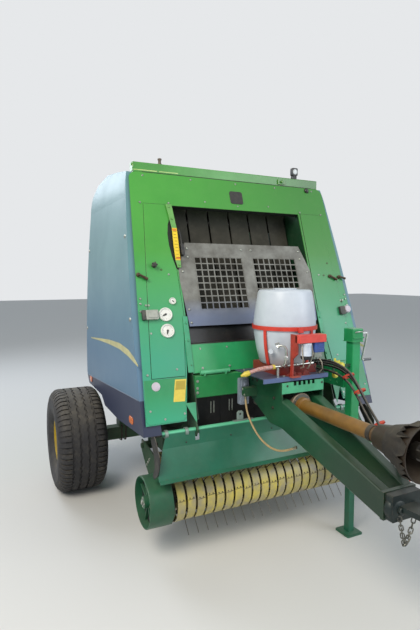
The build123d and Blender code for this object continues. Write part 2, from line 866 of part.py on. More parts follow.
# Drums at the ends of the pickup, open outwards, each with a hub on spokes
with BuildPart() as pickup_drum:
    with BuildSketch(side_plane(PICK_PLATE_X + PICK_PLATE)):
        with Locations((PICK_Y, PICK_Z)):
            Circle(DRUM_R)
    extrude(amount=DRUM_OUT - PICK_PLATE_X - PICK_PLATE)
    fillet(pickup_drum.edges().filter_by(GeomType.CIRCLE).group_by(Axis.X)[-1], radius=6)
    with BuildSketch(side_plane(DRUM_OUT - DRUM_DEEP)):
        with Locations((PICK_Y, PICK_Z)):
            Circle(DRUM_R - DRUM_SHEET)
    extrude(amount=DRUM_DEEP, mode=Mode.SUBTRACT)
    with BuildSketch(side_plane(DRUM_OUT - DRUM_DEEP)):
        with Locations((PICK_Y, PICK_Z)):
            Circle(DRUM_HUB_R)
    extrude(amount=DRUM_DEEP - 6)
    with BuildSketch(side_plane(DRUM_OUT - DRUM_DEEP)):
        with Locations((PICK_Y, PICK_Z)):
            for spoke in range(DRUM_SPOKES):
                with Locations(Rotation(0, 0, 180 / DRUM_SPOKES * (spoke + 0.5))):
                    Rectangle(2 * DRUM_R - DRUM_SHEET, 14)
    extrude(amount=22)

with BuildPart() as pickup_beam:
    with BuildSketch(side_plane(-PICK_PLATE_X)):
        with Locations((PICK_BEAM_Y, PICK_BEAM_Z)):
            RectangleRounded(PICK_BEAM, PICK_BEAM, 6)
    extrude(amount=2 * PICK_PLATE_X)

with BuildPart() as pickup_bands:
    mid = BAND_R + BAND / 2
    band_top = PICK_BEAM_Z + PICK_BEAM / 2 + BAND / 2
    for row in range(BANDS):
        start = (row - (BANDS - 1) / 2) * BAND_PITCH - BAND_WIDE / 2
        with BuildSketch(side_plane(start)):
            with BuildLine():
                Line((PICK_BEAM_Y + 30, band_top), (PICK_BEAM_Y - PICK_BEAM / 2, band_top))
                Line((PICK_BEAM_Y - PICK_BEAM / 2, band_top), (PICK_Y, PICK_Z + mid))
                ThreePointArc((PICK_Y, PICK_Z + mid), (PICK_Y - mid, PICK_Z), (PICK_Y, PICK_Z - mid))
                Line((PICK_Y, PICK_Z - mid), (PICK_BEAM_Y - PICK_BEAM / 2 - 2, PICK_BEAM_Z - 30))
            trace(line_width=BAND)
        extrude(amount=BAND_WIDE)

with BuildPart() as reel:
    with BuildSketch(side_plane(-PICK_PLATE_X - PICK_PLATE)):
        with Locations((PICK_Y, PICK_Z)):
            Circle(SHAFT_R)
    extrude(amount=2 * (PICK_PLATE_X + PICK_PLATE))
    with BuildSketch(side_plane(10 - PICK_PLATE_X), side_plane(PICK_PLATE_X - 20)):
        with Locations((PICK_Y, PICK_Z)):
            Circle(BAR_R + BAR + 5)
    extrude(amount=10)
    for bar in range(TINE_BARS):
        angle = radians(360 / TINE_BARS * bar + 45)
        bar_y = PICK_Y + BAR_R * cos(angle)
        bar_z = PICK_Z + BAR_R * sin(angle)
        with BuildSketch(side_plane(15 - PICK_PLATE_X)):
            with Locations((bar_y, bar_z)):
                Circle(BAR)
        extrude(amount=2 * PICK_PLATE_X - 30)
        tine_plane = Plane(origin=(0, bar_y, bar_z), x_dir=(1, 0, 0), z_dir=(0, cos(angle), sin(angle)))
        with BuildSketch(tine_plane):
            with GridLocations(BAND_PITCH, 1, BANDS - 1, 1):
                Rectangle(TINE, TINE)
        extrude(amount=TIP_R - BAR_R)

# Drawbar: console plates, a front plate with the drive line's hole and two box beams
with BuildPart() as drawbar:
    for side in (-1, 1):
        inner_x = side * CONSOLE_HALF - (CONSOLE_SHEET if side > 0 else 0)
        with BuildSketch(side_plane(inner_x)):
            with BuildLine():
                Polyline(
                    (BEAM_FRONT, BEAM_Z - BEAM_HIGH / 2 + 10),
                    (BEAM_FRONT, CONSOLE_TOP),
                    (CONSOLE_FRONT, CONSOLE_TOP),
                    (CONSOLE_FRONT, CONSOLE_FOOT),
                    (-860, CONSOLE_FOOT),
                    close=True,
                )
            make_face()
        extrude(amount=CONSOLE_SHEET)
        with BuildSketch(cross_plane(CONSOLE_FRONT)):
            with Locations((side * (CONSOLE_HALF - DRAW_WIDE / 2), DRAW_REAR_Z)):
                RectangleRounded(DRAW_WIDE, DRAW_HIGH, 12)
        with BuildSketch(cross_plane(DRAW_FRONT)):
            with Locations((side * DRAW_FRONT_X, DRAW_FRONT_Z)):
                RectangleRounded(DRAW_WIDE, DRAW_FRONT_HIGH, 12)
        loft()
        with BuildSketch(cross_plane(CONSOLE_FRONT)):
            with Locations((side * (CONSOLE_HALF - DRAW_WIDE / 2), DRAW_REAR_Z)):
                RectangleRounded(DRAW_WIDE, DRAW_HIGH, 12)
        extrude(amount=-DRAW_SEAT)
    with BuildSketch(cross_plane(CONSOLE_FRONT + CONSOLE_SHEET)):
        with Locations((0, CONSOLE_TOP - FRONT_PLATE / 2)):
            Rectangle(2 * CONSOLE_HALF, FRONT_PLATE)
        with Locations((NOTCH_X, CONSOLE_TOP)):
            with GridLocations(NOTCH_PITCH, 1, NOTCHES, 1):
                Rectangle(NOTCH, 2 * NOTCH_DEEP, mode=Mode.SUBTRACT)
    extrude(amount=CONSOLE_SHEET)
    with BuildSketch(cross_plane(DRAW_FRONT)):
        with Locations((0, DRAW_FRONT_Z)):
            Rectangle(2 * DRAW_FRONT_X + DRAW_WIDE, DRAW_FRONT_HIGH)
    extrude(amount=HITCH_BLOCK / 2)

with BuildPart() as hitch:
    hitch_back = DRAW_FRONT - HITCH_BLOCK / 2
    with BuildSketch(cross_plane(hitch_back)):
        with Locations((0, DRAW_FRONT_Z)):
            RectangleRounded(2 * DRAW_FRONT_X + DRAW_WIDE - 20, DRAW_FRONT_HIGH - 10, 10)
    extrude(amount=HITCH_BLOCK)
    with BuildSketch(Plane.XY.offset(DRAW_FRONT_Z - EYE_THICK / 2)):
        with BuildLine():
            Polyline(
                (-60, hitch_back - HITCH_BLOCK + 2),
                (60, hitch_back - HITCH_BLOCK + 2),
                (40, EYE_Y),
                (-40, EYE_Y),
                close=True,
            )
        make_face()
        with Locations((0, EYE_Y)):
            Circle(EYE_RING_R)
            Circle(EYE_HOLE_R, mode=Mode.SUBTRACT)
    extrude(amount=EYE_THICK)

# Gearbox and its collar
with BuildPart() as gearbox:
    with BuildSketch(cross_plane(BEAM_FRONT)):
        with Locations((0, PTO_Z + 15)):
            RectangleRounded(240, 210, 25)
    extrude(amount=300)
    with BuildSketch(cross_plane(BEAM_FRONT - 300)):
        with Locations((0, PTO_Z)):
            Circle(COLLAR_R)
    extrude(amount=1000 + BEAM_FRONT - 300)
    with BuildSketch(cross_plane(-1000)):
        with Locations((0, PTO_Z)):
            Circle(SHAFT_R + SHAFT_GAP)
    extrude(amount=-150, mode=Mode.SUBTRACT)

# Guard tube and cone over the drive line
with BuildPart() as pto_guard:
    with BuildSketch(Plane.YZ):
        with BuildLine():
            Polyline(
                (-1000, PTO_Z + GUARD_BORE),
                (-1000, PTO_Z + GUARD_R + 12),
                (-1030, PTO_Z + GUARD_R + 12),
                (-1034, PTO_Z + GUARD_R),
                (GUARD_FRONT, PTO_Z + GUARD_R),
                (GUARD_FRONT - 10, PTO_Z + 68),
                (GUARD_FRONT - 120, PTO_Z + 90),
                (CONE_FRONT, PTO_Z + CONE_R),
                (CONE_FRONT, PTO_Z + CONE_R - CONE_WALL),
                (GUARD_FRONT - 122, PTO_Z + 90 - CONE_WALL),
                (GUARD_FRONT - 14, PTO_Z + 62),
                (GUARD_FRONT - 14, PTO_Z + GUARD_BORE),
                close=True,
            )
        make_face()
    revolve(axis=Axis((0, 0, PTO_Z), (0, 1, 0)))

# Drive shaft with its front yoke
with BuildPart() as pto_shaft:
    with BuildSketch(cross_plane(-880)):
        with Locations((0, PTO_Z)):
            Circle(SHAFT_R)
    extrude(amount=1060)
    with BuildSketch(cross_plane(-1930)):
        with Locations((0, PTO_Z)):
            Circle(YOKE_R)
    extrude(amount=40)
    for side in (-1, 1):
        with BuildSketch(cross_plane(-1965)):
            with Locations((side * 34, PTO_Z)):
                Rectangle(18, 40)
        extrude(amount=75)
        with BuildSketch(cross_plane(-2020)):
            with Locations((0, PTO_Z + side * 34)):
                Rectangle(40, 18)
        extrude(amount=75)
    with BuildSketch(cross_plane(-2015)):
        with Locations((0, PTO_Z)):
            Rectangle(86, 26)
            Rectangle(26, 86)
    extrude(amount=26)
    with BuildSketch(cross_plane(-2085)):
        with Locations((0, PTO_Z)):
            Circle(YOKE_R)
    extrude(amount=YOKE_FRONT * -1 - 2085)
    with BuildSketch(cross_plane(YOKE_FRONT)):
        with Locations((0, PTO_Z)):
            Circle(YOKE_BORE)
    extrude(amount=-YOKE_BORE_DEEP, mode=Mode.SUBTRACT)

# Parking jack: tube with head and bracket, leg with foot, and crank
with BuildPart() as jack_tube:
    with BuildSketch(Plane.XY.offset(JACK_TUBE_LOW)):
        with Locations((JACK_X, JACK_Y)):
            RectangleRounded(JACK_TUBE, JACK_TUBE, 8)
            Rectangle(JACK_TUBE - 2 * JACK_WALL, JACK_TUBE - 2 * JACK_WALL, mode=Mode.SUBTRACT)
    extrude(amount=JACK_HEAD - JACK_CAP_HIGH - JACK_TUBE_LOW)
    with BuildSketch(Plane.XY.offset(JACK_HEAD - JACK_CAP_HIGH)):
        with Locations((JACK_X, JACK_Y)):
            RectangleRounded(JACK_CAP, JACK_CAP, 10)
    extrude(amount=JACK_CAP_HIGH)
    fillet(jack_tube.edges().group_by(Axis.Z)[-1], radius=8)
    with BuildSketch(side_plane(JACK_X - 55)):
        with Locations(((BEAM_FRONT + JACK_Y + JACK_TUBE / 2) / 2, BEAM_Z)):
            Rectangle(BEAM_FRONT - JACK_Y - JACK_TUBE / 2, BEAM_HIGH - 20)
    extrude(amount=55)

with BuildPart() as jack_leg:
    with BuildSketch(Plane.XY.offset(JACK_FOOT_HIGH)):
        with Locations((JACK_X, JACK_Y)):
            Rectangle(JACK_LEG, JACK_LEG)
    extrude(amount=1100)
    with BuildSketch(Plane.XY):
        with Locations((JACK_X, JACK_Y)):
            RectangleRounded(JACK_FOOT, JACK_FOOT, 15)
    extrude(amount=JACK_FOOT_HIGH)

with BuildPart() as jack_crank:
    crank_x = JACK_X + JACK_CAP / 2 + PIN_GAP
    with BuildSketch(side_plane(crank_x)):
        with Locations((JACK_Y, CRANK_Z)):
            Circle(9)
    extrude(amount=45)
    with BuildSketch(side_plane(crank_x + 30)):
        with BuildLine():
            Line((JACK_Y, CRANK_Z + 12), (JACK_Y + CRANK_LEAN, CRANK_Z - CRANK_ARM - 12))
        trace(line_width=18)
    extrude(amount=10)
    with BuildSketch(side_plane(crank_x + 35)):
        with Locations((JACK_Y + CRANK_LEAN, CRANK_Z - CRANK_ARM)):
            Circle(11)
    extrude(amount=CRANK_GRIP)

# Shelf for the additive tank
with BuildPart() as shelf:
    with BuildSketch(Plane.XY.offset(SHELF_TOP - SHELF_SHEET)):
        with Locations((SHELF_X, (SHELF_FRONT + SHELF_REAR) / 2)):
            Rectangle(2 * SHELF_HALF, SHELF_REAR - SHELF_FRONT)
    extrude(amount=SHELF_SHEET)
    with BuildSketch(Plane.XY.offset(SHELF_TOP - SHELF_LIP)):
        with Locations((SHELF_X, SHELF_FRONT + SHELF_SHEET / 2)):
            Rectangle(2 * SHELF_HALF, SHELF_SHEET)
    extrude(amount=SHELF_LIP)
    for side in (-1, 1):
        with BuildSketch(Plane.XY.offset(CONSOLE_TOP)):
            with Locations((side * (CONSOLE_HALF - CONSOLE_SHEET / 2), -790)):
                Rectangle(CONSOLE_SHEET, 300)
        extrude(amount=SHELF_TOP - SHELF_SHEET - CONSOLE_TOP)

# Additive tank on its base frame, with a band round it
TANK_AXIS = Axis((TANK_X, TANK_Y, 0), (0, 0, 1))
tank_low = (TANK_FOOT + TANK_BAND_Z) / 2
tank_high = (TANK_BAND_Z + TANK_TOP) / 2
with BuildPart() as tank:
    with BuildSketch(Plane(origin=(TANK_X, TANK_Y, 0), x_dir=(1, 0, 0), z_dir=(0, -1, 0))):
        with BuildLine():
            Line((0, TANK_FOOT), (TANK_FOOT_R, TANK_FOOT))
            ThreePointArc((TANK_FOOT_R, TANK_FOOT), (TANK_R - 12, tank_low), (TANK_R, TANK_BAND_Z))
            ThreePointArc((TANK_R, TANK_BAND_Z), (TANK_R - 14, tank_high), (TANK_TOP_R, TANK_TOP - 12))
            Line((TANK_TOP_R, TANK_TOP - 12), (TANK_TOP_R - 12, TANK_TOP))
            Line((TANK_TOP_R - 12, TANK_TOP), (0, TANK_TOP))
            Line((0, TANK_TOP), (0, TANK_FOOT))
        make_face()
    revolve(axis=TANK_AXIS)

with BuildPart() as tank_frame:
    with BuildSketch(Plane.XY.offset(TANK_BAND_Z - 14)):
        with Locations((TANK_X, TANK_Y)):
            Circle(TANK_R + 8)
            Circle(TANK_R + 3, mode=Mode.SUBTRACT)
    extrude(amount=28)
    with BuildSketch(Plane.XY.offset(SHELF_TOP)):
        with Locations((TANK_X, TANK_Y)):
            Rectangle(320, 320)
            Rectangle(250, 250, mode=Mode.SUBTRACT)
    extrude(amount=TANK_FOOT - SHELF_TOP)
    for turn in (20, 110, 200, 290):
        upright = Plane(
            origin=(TANK_X, TANK_Y, 0),
            x_dir=(cos(radians(turn)), sin(radians(turn)), 0),
            z_dir=(sin(radians(turn)), -cos(radians(turn)), 0),
        )
        with BuildSketch(upright.offset(-12)):
            with BuildLine():
                Line((TANK_FOOT_R - 40, TANK_FOOT), (TANK_FOOT_R + 4, TANK_FOOT))
                ThreePointArc(
                    (TANK_FOOT_R + 4, TANK_FOOT), (TANK_R - 8, tank_low), (TANK_R + 4, TANK_BAND_Z)
                )
                Line((TANK_R + 4, TANK_BAND_Z), (TANK_R + 7, TANK_BAND_Z))
                ThreePointArc(
                    (TANK_R + 7, TANK_BAND_Z), (TANK_R - 3, tank_low), (TANK_FOOT_R + 9, TANK_FOOT - 6)
                )
                Line((TANK_FOOT_R + 9, TANK_FOOT - 6), (TANK_FOOT_R - 40, TANK_FOOT - 6))
                Line((TANK_FOOT_R - 40, TANK_FOOT - 6), (TANK_FOOT_R - 40, TANK_FOOT))
            make_face()
        extrude(amount=24)

# Pump: a hood of folded sheet on a foot plate, with the filter bowl and the motor hung under it
with BuildPart() as pump:
    with BuildSketch(Plane.XY.offset(HOOD_LOW)):
        with Locations((HOOD_X, HOOD_Y)):
            Rectangle(HOOD_WIDE, HOOD_DEEP)
    extrude(amount=HOOD_HIGH)
    with BuildSketch(Plane.XY.offset(HOOD_LOW)):
        with Locations((HOOD_X, HOOD_Y)):
            Rectangle(HOOD_WIDE - 2 * HOOD_SHEET, HOOD_DEEP - 2 * HOOD_SHEET)
    extrude(amount=HOOD_HIGH - HOOD_SHEET, mode=Mode.SUBTRACT)
    with BuildSketch(Plane.XY.offset(HOOD_LOW - BOWL_DROP)):
        with Locations((HOOD_X - 45, HOOD_Y)):
            Circle(BOWL_R)
    extrude(amount=HOOD_HIGH + BOWL_DROP - HOOD_SHEET)
    with BuildSketch(Plane.XY.offset(HOOD_LOW - BOWL_DROP / 2)):
        with Locations((HOOD_X + 55, HOOD_Y)):
            Rectangle(74, 40)
    extrude(amount=HOOD_HIGH + BOWL_DROP / 2 - HOOD_SHEET)
    with BuildSketch(Plane.XY.offset(SHELF_TOP)):
        with Locations((HOOD_X - HOOD_WIDE / 2 + HOOD_FOOT / 2, HOOD_Y + 43)):
            Rectangle(HOOD_FOOT, 78)
    extrude(amount=HOOD_LOW + HOOD_HIGH - SHELF_TOP)

# Small front fittings: dials, latch box, plates
with BuildPart() as dials:
    for x, z, radius in ((-757, 1730, 50), (-757, 1600, 50), (-757, 1815, 27)):
        with BuildSketch(FRONT):
            with Locations((x, rise(z))):
                Circle(radius)
        extrude(amount=14)

with BuildPart() as work_lamp:
    with BuildSketch(Plane.XY.offset(WALL_TOP + TOP_TUBE)):
        with Locations((640, TOP_TUBE_Y)):
            Rectangle(30, 40)
    extrude(amount=30)
    with BuildSketch(Plane.XY.offset(WALL_TOP + TOP_TUBE + 30)):
        with Locations((640, TOP_TUBE_Y)):
            RectangleRounded(60, 50, 8)
    extrude(amount=70)


def bend_radii(points):
    """Largest arc radius at each corner of a route that leaves a little of both runs straight."""
    radii = []
    for before, corner, after in zip(points, points[1:], points[2:]):
        incoming = Vector(*corner) - Vector(*before)
        outgoing = Vector(*after) - Vector(*corner)
        turn = radians(incoming.get_angle(outgoing))
        radii.append(0.45 * min(incoming.length, outgoing.length) / tan(turn / 2))
    return radii


def hose_tube(points, radius):
    """Tube along straight runs that are joined by tangent arcs."""
    radii = bend_radii(points)
    with BuildPart() as tube:
        with BuildLine() as path:
            FilletPolyline(*points, radius=radii)
        with BuildSketch(Plane(origin=path.line @ 0, z_dir=path.line % 0)):
            Circle(radius)
        sweep()
    print("hose length", round(sum(edge.length for edge in path.edges())))
    return tube


BULKHEAD = 12.0
BULKHEAD_Z = SHELF_TOP - 20
HYDRAULIC_R = 8.0
HYDRAULIC_ROUTES = (
    (
        (285, -574, 1336), (286, -650, 1350), (294, -780, 1388), (318, -930, 1398), (345, -1070, 1352),
        (352, -1160, 1258), (340, -1250, 1165), (312, -1360, 1092), (270, -1470, 1038), (215, -1580, 990),
        (165, -1670, 962), (122, -1740, 953),
    ),
    (
        (315, -574, 1335), (318, -655, 1342), (330, -784, 1366), (353, -926, 1370), (379, -1056, 1320),
        (386, -1140, 1226), (374, -1232, 1134), (346, -1345, 1062), (304, -1458, 1010), (249, -1566, 962),
        (204, -1652, 940), (168, -1720, 932),
    ),
    (
        (345, -574, 1335), (350, -660, 1334), (364, -792, 1344), (388, -918, 1338), (412, -1030, 1284),
        (420, -1118, 1192), (408, -1214, 1100), (381, -1330, 1030), (340, -1444, 978), (286, -1552, 932),
        (240, -1632, 902), (203, -1698, 886),
    ),
    (
        (300, -574, 1305), (303, -652, 1308), (313, -782, 1318), (336, -922, 1318), (362, -1050, 1268),
        (369, -1133, 1176), (357, -1222, 1086), (330, -1334, 1016), (288, -1446, 966), (236, -1550, 920),
        (203, -1612, 896), (178, -1660, 880),
    ),
)
hydraulic_hoses = [hose_tube(route, HYDRAULIC_R) for route in HYDRAULIC_ROUTES]

# Bulkhead on the lower beam with a fitting for each hydraulic hose, and the clamp of the grease hose
with BuildPart() as hose_brackets:
    with BuildSketch(cross_plane(BEAM_FRONT)):
        with Locations((HYDRAULIC_ROUTES[1][0][0], BULKHEAD_Z)):
            RectangleRounded(130, 80, 6)
    extrude(amount=BULKHEAD)
    for route in HYDRAULIC_ROUTES:
        start = Vector(*route[0])
        back = (start - Vector(*route[1])).normalized()
        with BuildSketch(Plane(origin=start, z_dir=back)):
            Circle(HYDRAULIC_R + 3)
        extrude(amount=BULKHEAD + 2)
    with BuildSketch(side_plane(-CONSOLE_HALF)):
        with Locations((-676, 1180)):
            Rectangle(50, 60)
    extrude(amount=-100)

# Quick couplers with dust caps at the ends of the hydraulic hoses
with BuildPart() as hose_plugs:
    for route in HYDRAULIC_ROUTES:
        end = Vector(*route[-1])
        along = (end - Vector(*route[-2])).normalized()
        with BuildSketch(Plane(origin=end, z_dir=along)):
            Circle(14)
        extrude(amount=70)

GREASE_R = 7.0
GREASE_ROUTE = (
    (-258, -676, 1149), (-259, -683, 1108), (-260, -704, 1040), (-252, -756, 962), (-238, -834, 890),
    (-220, -926, 850), (-202, -1020, 848), (-186, -1106, 880), (-175, -1172, 918),
)
grease_hose = hose_tube(GREASE_ROUTE, GREASE_R)

# Rear lamps
with BuildPart() as tail_lamps:
    for side in (-1, 1):
        with BuildSketch(cross_plane(1880)):
            with Locations((side * 480, 660)):
                RectangleRounded(190, 84, 12)
        extrude(amount=-35)

SINGLES = (
    (front_surround, "front_surround"),
    (top_tube, "top_tube"),
    (guard_plate, "guard_plate"),
    (lower_panel, "lower_panel"),
    (lower_beam, "lower_beam"),
    (front_rollers, "front_rollers"),
    (front_belts, "front_belts"),
    (drive_chains, "drive_chains"),
    (axle, "axle"),
    (windguard, "windguard"),
    (tailgate_rollers, "tailgate_rollers"),
    (tailgate_belts, "tailgate_belts"),
    (tailgate_frame, "tailgate_frame"),
    (pickup_beam, "pickup_beam"),
    (pickup_bands, "pickup_bands"),
    (reel, "reel"),
    (drawbar, "drawbar"),
    (hitch, "hitch"),
    (gearbox, "gearbox"),
    (pto_guard, "pto_guard"),
    (pto_shaft, "pto_shaft"),
    (jack_tube, "jack_tube"),
    (jack_leg, "jack_leg"),
    (jack_crank, "jack_crank"),
    (shelf, "shelf"),
    (tank, "tank"),
    (tank_frame, "tank_frame"),
    (pump, "pump"),
    (dials, "dials"),
    (work_lamp, "work_lamp"),
    (tail_lamps, "tail_lamps"),
    (hose_brackets, "hose_brackets"),
    (hydraulic_hoses[0], "hose_hydraulic_1"),
    (hydraulic_hoses[1], "hose_hydraulic_2"),
    (hydraulic_hoses[2], "hose_hydraulic_3"),
    (hydraulic_hoses[3], "hose_hydraulic_4"),
    (hose_plugs, "hose_plugs"),
    (grease_hose, "hose_grease"),
)
BOTH = (
    (chamber_wall, "chamber_walls"),
    (side_frame, "side_frames"),
    (windguard_bracket, "windguard_brackets"),
    (tailgate_side, "tailgate_sides"),
    (pickup_side, "pickup_sides"),
    (pickup_drum, "pickup_drums"),
    (shield_arm, "shield_arms"),
)
PAIRS = (
    (tyre, "tyre"),
    (rim, "rim"),
    (side_shield, "side_shield"),
    (gate_barrel, "gate_barrel"),
    (gate_rod, "gate_rod"),
)
for piece, name in SINGLES:
    piece.part.label = name
    export_step(piece.part, f"parts/{name}.step")
for piece, name in BOTH:
    with BuildPart() as both:
        add(piece.part)
        mirror(about=Plane.YZ)
    both.part.label = name
    export_step(both.part, f"parts/{name}.step")
for piece, name in PAIRS:
    with BuildPart() as other:
        add(piece.part)
        mirror(about=Plane.YZ, mode=Mode.REPLACE)
    piece.part.label = f"{name}_left"
    export_step(piece.part, f"parts/{name}_left.step")
    other.part.label = f"{name}_right"
    export_step(other.part, f"parts/{name}_right.step")
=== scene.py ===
import bpy
import bmesh
import math
import random
from mathutils import Matrix, Vector


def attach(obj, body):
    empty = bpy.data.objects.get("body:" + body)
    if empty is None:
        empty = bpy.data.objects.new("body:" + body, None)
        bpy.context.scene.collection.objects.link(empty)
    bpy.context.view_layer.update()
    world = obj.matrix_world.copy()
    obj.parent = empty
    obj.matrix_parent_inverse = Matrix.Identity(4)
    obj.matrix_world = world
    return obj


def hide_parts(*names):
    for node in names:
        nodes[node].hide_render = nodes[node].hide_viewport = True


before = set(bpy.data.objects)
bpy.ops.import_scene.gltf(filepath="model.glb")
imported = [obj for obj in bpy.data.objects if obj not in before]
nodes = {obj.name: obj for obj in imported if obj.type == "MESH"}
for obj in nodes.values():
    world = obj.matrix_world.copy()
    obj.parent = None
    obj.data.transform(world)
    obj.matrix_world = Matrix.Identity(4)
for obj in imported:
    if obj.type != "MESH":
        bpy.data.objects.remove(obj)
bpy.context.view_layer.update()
scene = bpy.context.scene
scene.view_settings.view_transform = "Standard"
random.seed(7)

# The view: a person's eye at 2 m, in front of the machine's right corner, looking a little down.
# The frame is 420 by 630, and the lens covers it as the photograph's does.
PICTURE_WIDTH = 420
FOCAL_PIXELS = 472
camera_data = bpy.data.cameras.new("view")
camera_data.sensor_fit = "HORIZONTAL"
camera_data.sensor_width = 36
camera_data.lens = camera_data.sensor_width * FOCAL_PIXELS / PICTURE_WIDTH
camera = bpy.data.objects.new("view", camera_data)
camera.location = (-1.945, -3.563, 2.0)
camera.rotation_euler = (math.radians(90 - 4.6), 0, math.radians(-25.95))
scene.collection.objects.link(camera)
scene.camera = camera


# Hydraulic hoses: wire-braided rubber hoses that leave the bulkhead on the cross beam and hang
# over beside the drawbar to the tractor's couplers. Each lies along its own line of points.
def linear(hex_colour):
    """Linear colour, with alpha, of an sRGB hex value."""
    channels = [int(hex_colour[i:i + 2], 16) / 255 for i in (1, 3, 5)]
    return [c / 12.92 if c <= 0.04045 else ((c + 0.055) / 1.055) ** 2.4 for c in channels] + [1.0]


def add_node(tree, kind, links=(), **settings):
    """Adds a node, sets its options and sockets by name and links (socket, node, output) triples."""
    node = tree.nodes.new("ShaderNode" + kind)
    for name, value in settings.items():
        if hasattr(node, name):
            setattr(node, name, value)
        else:
            node.inputs[name.replace("_", " ")].default_value = value
    for socket, source, output in links:
        tree.links.new(source.outputs[output], node.inputs[socket])
    return node


def finish(name, colour, second, patch, roughness, metallic=0.0, grain=1.5, rise=0.15, dust=0.25, chips=0.0,
           chip_colour="#5A4636", low_dirt=0.0, coat=0.0, stretch=(1, 1, 1), zones=()):
    """Material of two near colours in patches of that many millimetres, with a fine grain, dust on
    what faces up, dirt low down and chipped edges. A zone is (colour, direction, start, full): it
    covers the piece from start to full, measured in metres along the direction."""
    material = bpy.data.materials.new(name)
    material.use_nodes = True
    tree = material.node_tree
    tree.nodes.clear()
    place = add_node(tree, "TexCoord")
    fit = add_node(tree, "Mapping", [("Vector", place, "Object")], Scale=stretch)
    patches = add_node(tree, "TexNoise", [("Vector", fit, "Vector")], Scale=1000 / patch, Detail=5.0,
                       Roughness=0.6)
    spread = add_node(tree, "MapRange", [("Value", patches, "Fac")], From_Min=0.35, From_Max=0.68)
    last = add_node(tree, "MixRGB", [("Fac", spread, "Result")], Color1=linear(colour), Color2=linear(second))
    for zone_colour, direction, start, full in zones:
        along = add_node(tree, "VectorMath", [(0, place, "Object")], operation="DOT_PRODUCT")
        along.inputs[1].default_value = direction
        share = add_node(tree, "MapRange", [("Value", along, "Value")], From_Min=start, From_Max=full)
        last = add_node(tree, "MixRGB", [("Fac", share, "Result"), ("Color1", last, "Color")],
                        Color2=linear(zone_colour))
    facing_up = add_node(tree, "NewGeometry")
    split = add_node(tree, "SeparateXYZ", [("Vector", facing_up, "Normal")])
    streaks = add_node(tree, "TexNoise", [("Vector", place, "Object")], Scale=14.0, Detail=6.0, Roughness=0.7)
    upward = add_node(tree, "MapRange", [("Value", split, "Z")], From_Min=0.25, From_Max=0.95,
                      To_Max=dust * 1.6)
    settled = add_node(tree, "Math", [(0, upward, "Result"), (1, streaks, "Fac")], operation="MULTIPLY")
    veil = add_node(tree, "MapRange", [("Value", streaks, "Fac")], From_Min=0.5, From_Max=0.75,
                    To_Max=dust * 0.5)
    dusty = add_node(tree, "Math", [(0, settled, "Value"), (1, veil, "Result")], operation="ADD",
                     use_clamp=True)
    last = add_node(tree, "MixRGB", [("Fac", dusty, "Value"), ("Color1", last, "Color")],
                    Color2=linear("#A79F8C"))
    if low_dirt:
        height = add_node(tree, "SeparateXYZ", [("Vector", place, "Object")])
        low = add_node(tree, "MapRange", [("Value", height, "Z")], From_Min=1.5, From_Max=0.35,
                       To_Max=low_dirt)
        mud = add_node(tree, "Math", [(0, low, "Result"), (1, streaks, "Fac")], operation="MULTIPLY")
        last = add_node(tree, "MixRGB", [("Fac", mud, "Value"), ("Color1", last, "Color")],
                        Color2=linear("#4A4134"))
    if chips:
        rounded = add_node(tree, "Bevel", samples=4, Radius=0.006)
        same = add_node(tree, "VectorMath", [(0, rounded, "Normal"), (1, facing_up, "Normal")],
                        operation="DOT_PRODUCT")
        edge = add_node(tree, "MapRange", [("Value", same, "Value")], From_Min=0.985, From_Max=0.9)
        spots = add_node(tree, "TexNoise", [("Vector", place, "Object")], Scale=60.0, Detail=4.0)
        worn = add_node(tree, "MapRange", [("Value", spots, "Fac")], From_Min=0.52, From_Max=0.6,
                        To_Max=chips)
        bare = add_node(tree, "Math", [(0, edge, "Result"), (1, worn, "Result")], operation="MULTIPLY")
        last = add_node(tree, "MixRGB", [("Fac", bare, "Value"), ("Color1", last, "Color")],
                        Color2=linear(chip_colour))
    dull = add_node(tree, "MapRange", [("Value", patches, "Fac")], To_Min=max(roughness - 0.08, 0.02),
                    To_Max=min(roughness + 0.1, 1.0))
    fine = add_node(tree, "TexNoise", [("Vector", fit, "Vector")], Scale=1000 / grain, Detail=3.0)
    bump = add_node(tree, "Bump", [("Height", fine, "Fac")], Strength=rise, Distance=0.0008)
    skin = add_node(tree, "BsdfPrincipled",
                    [("Base Color", last, "Color"), ("Roughness", dull, "Result"),
                     ("Normal", bump, "Normal")],
                    Metallic=metallic, Coat_Weight=coat, Coat_Roughness=0.25)
    add_node(tree, "OutputMaterial", [("Surface", skin, "BSDF")])
    return material


def lay_hose(name, points, radius, material):
    """Smooth tube whose control points are the hose's route."""
    line = bpy.data.curves.new(name, "CURVE")
    line.dimensions = "3D"
    line.resolution_u = 10
    line.bevel_depth = radius
    line.bevel_resolution = 4
    line.use_fill_caps = True
    spline = line.splines.new("NURBS")
    spline.points.add(len(points) - 1)
    for point, place in zip(spline.points, points):
        point.co = (*place, 1)
    spline.order_u = 3
    spline.use_endpoint_u = True
    line.materials.append(material)
    hose = bpy.data.objects.new(name, line)
    scene.collection.objects.link(hose)
    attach(hose, "chassis")
    return hose


def facing(place, out, up=(0, 0, 1)):
    """Frame at a place: its third axis points out of the surface and its second one up it."""
    out = Vector(out).normalized()
    up = Vector(up)
    up = (up - out * up.dot(out)).normalized()
    across = up.cross(out)
    return Matrix.Translation(place) @ Matrix((across, up, out)).transposed().to_4x4()


def to_front(x, y, z):
    """Frame that points out of the machine's front."""
    return facing((x, y, z), (0, -1, 0))


def to_back(x, y, z):
    """Frame that points out of the machine's back."""
    return facing((x, y, z), (0, 1, 0))


def to_top(x, y, z):
    """Frame that points up."""
    return facing((x, y, z), (0, 0, 1), (0, 1, 0))


def to_side(side, x, y, z):
    """Frame that points out to one side, 1 for the machine's left and -1 for its right."""
    return facing((side * x, y, z), (side, 0, 0))


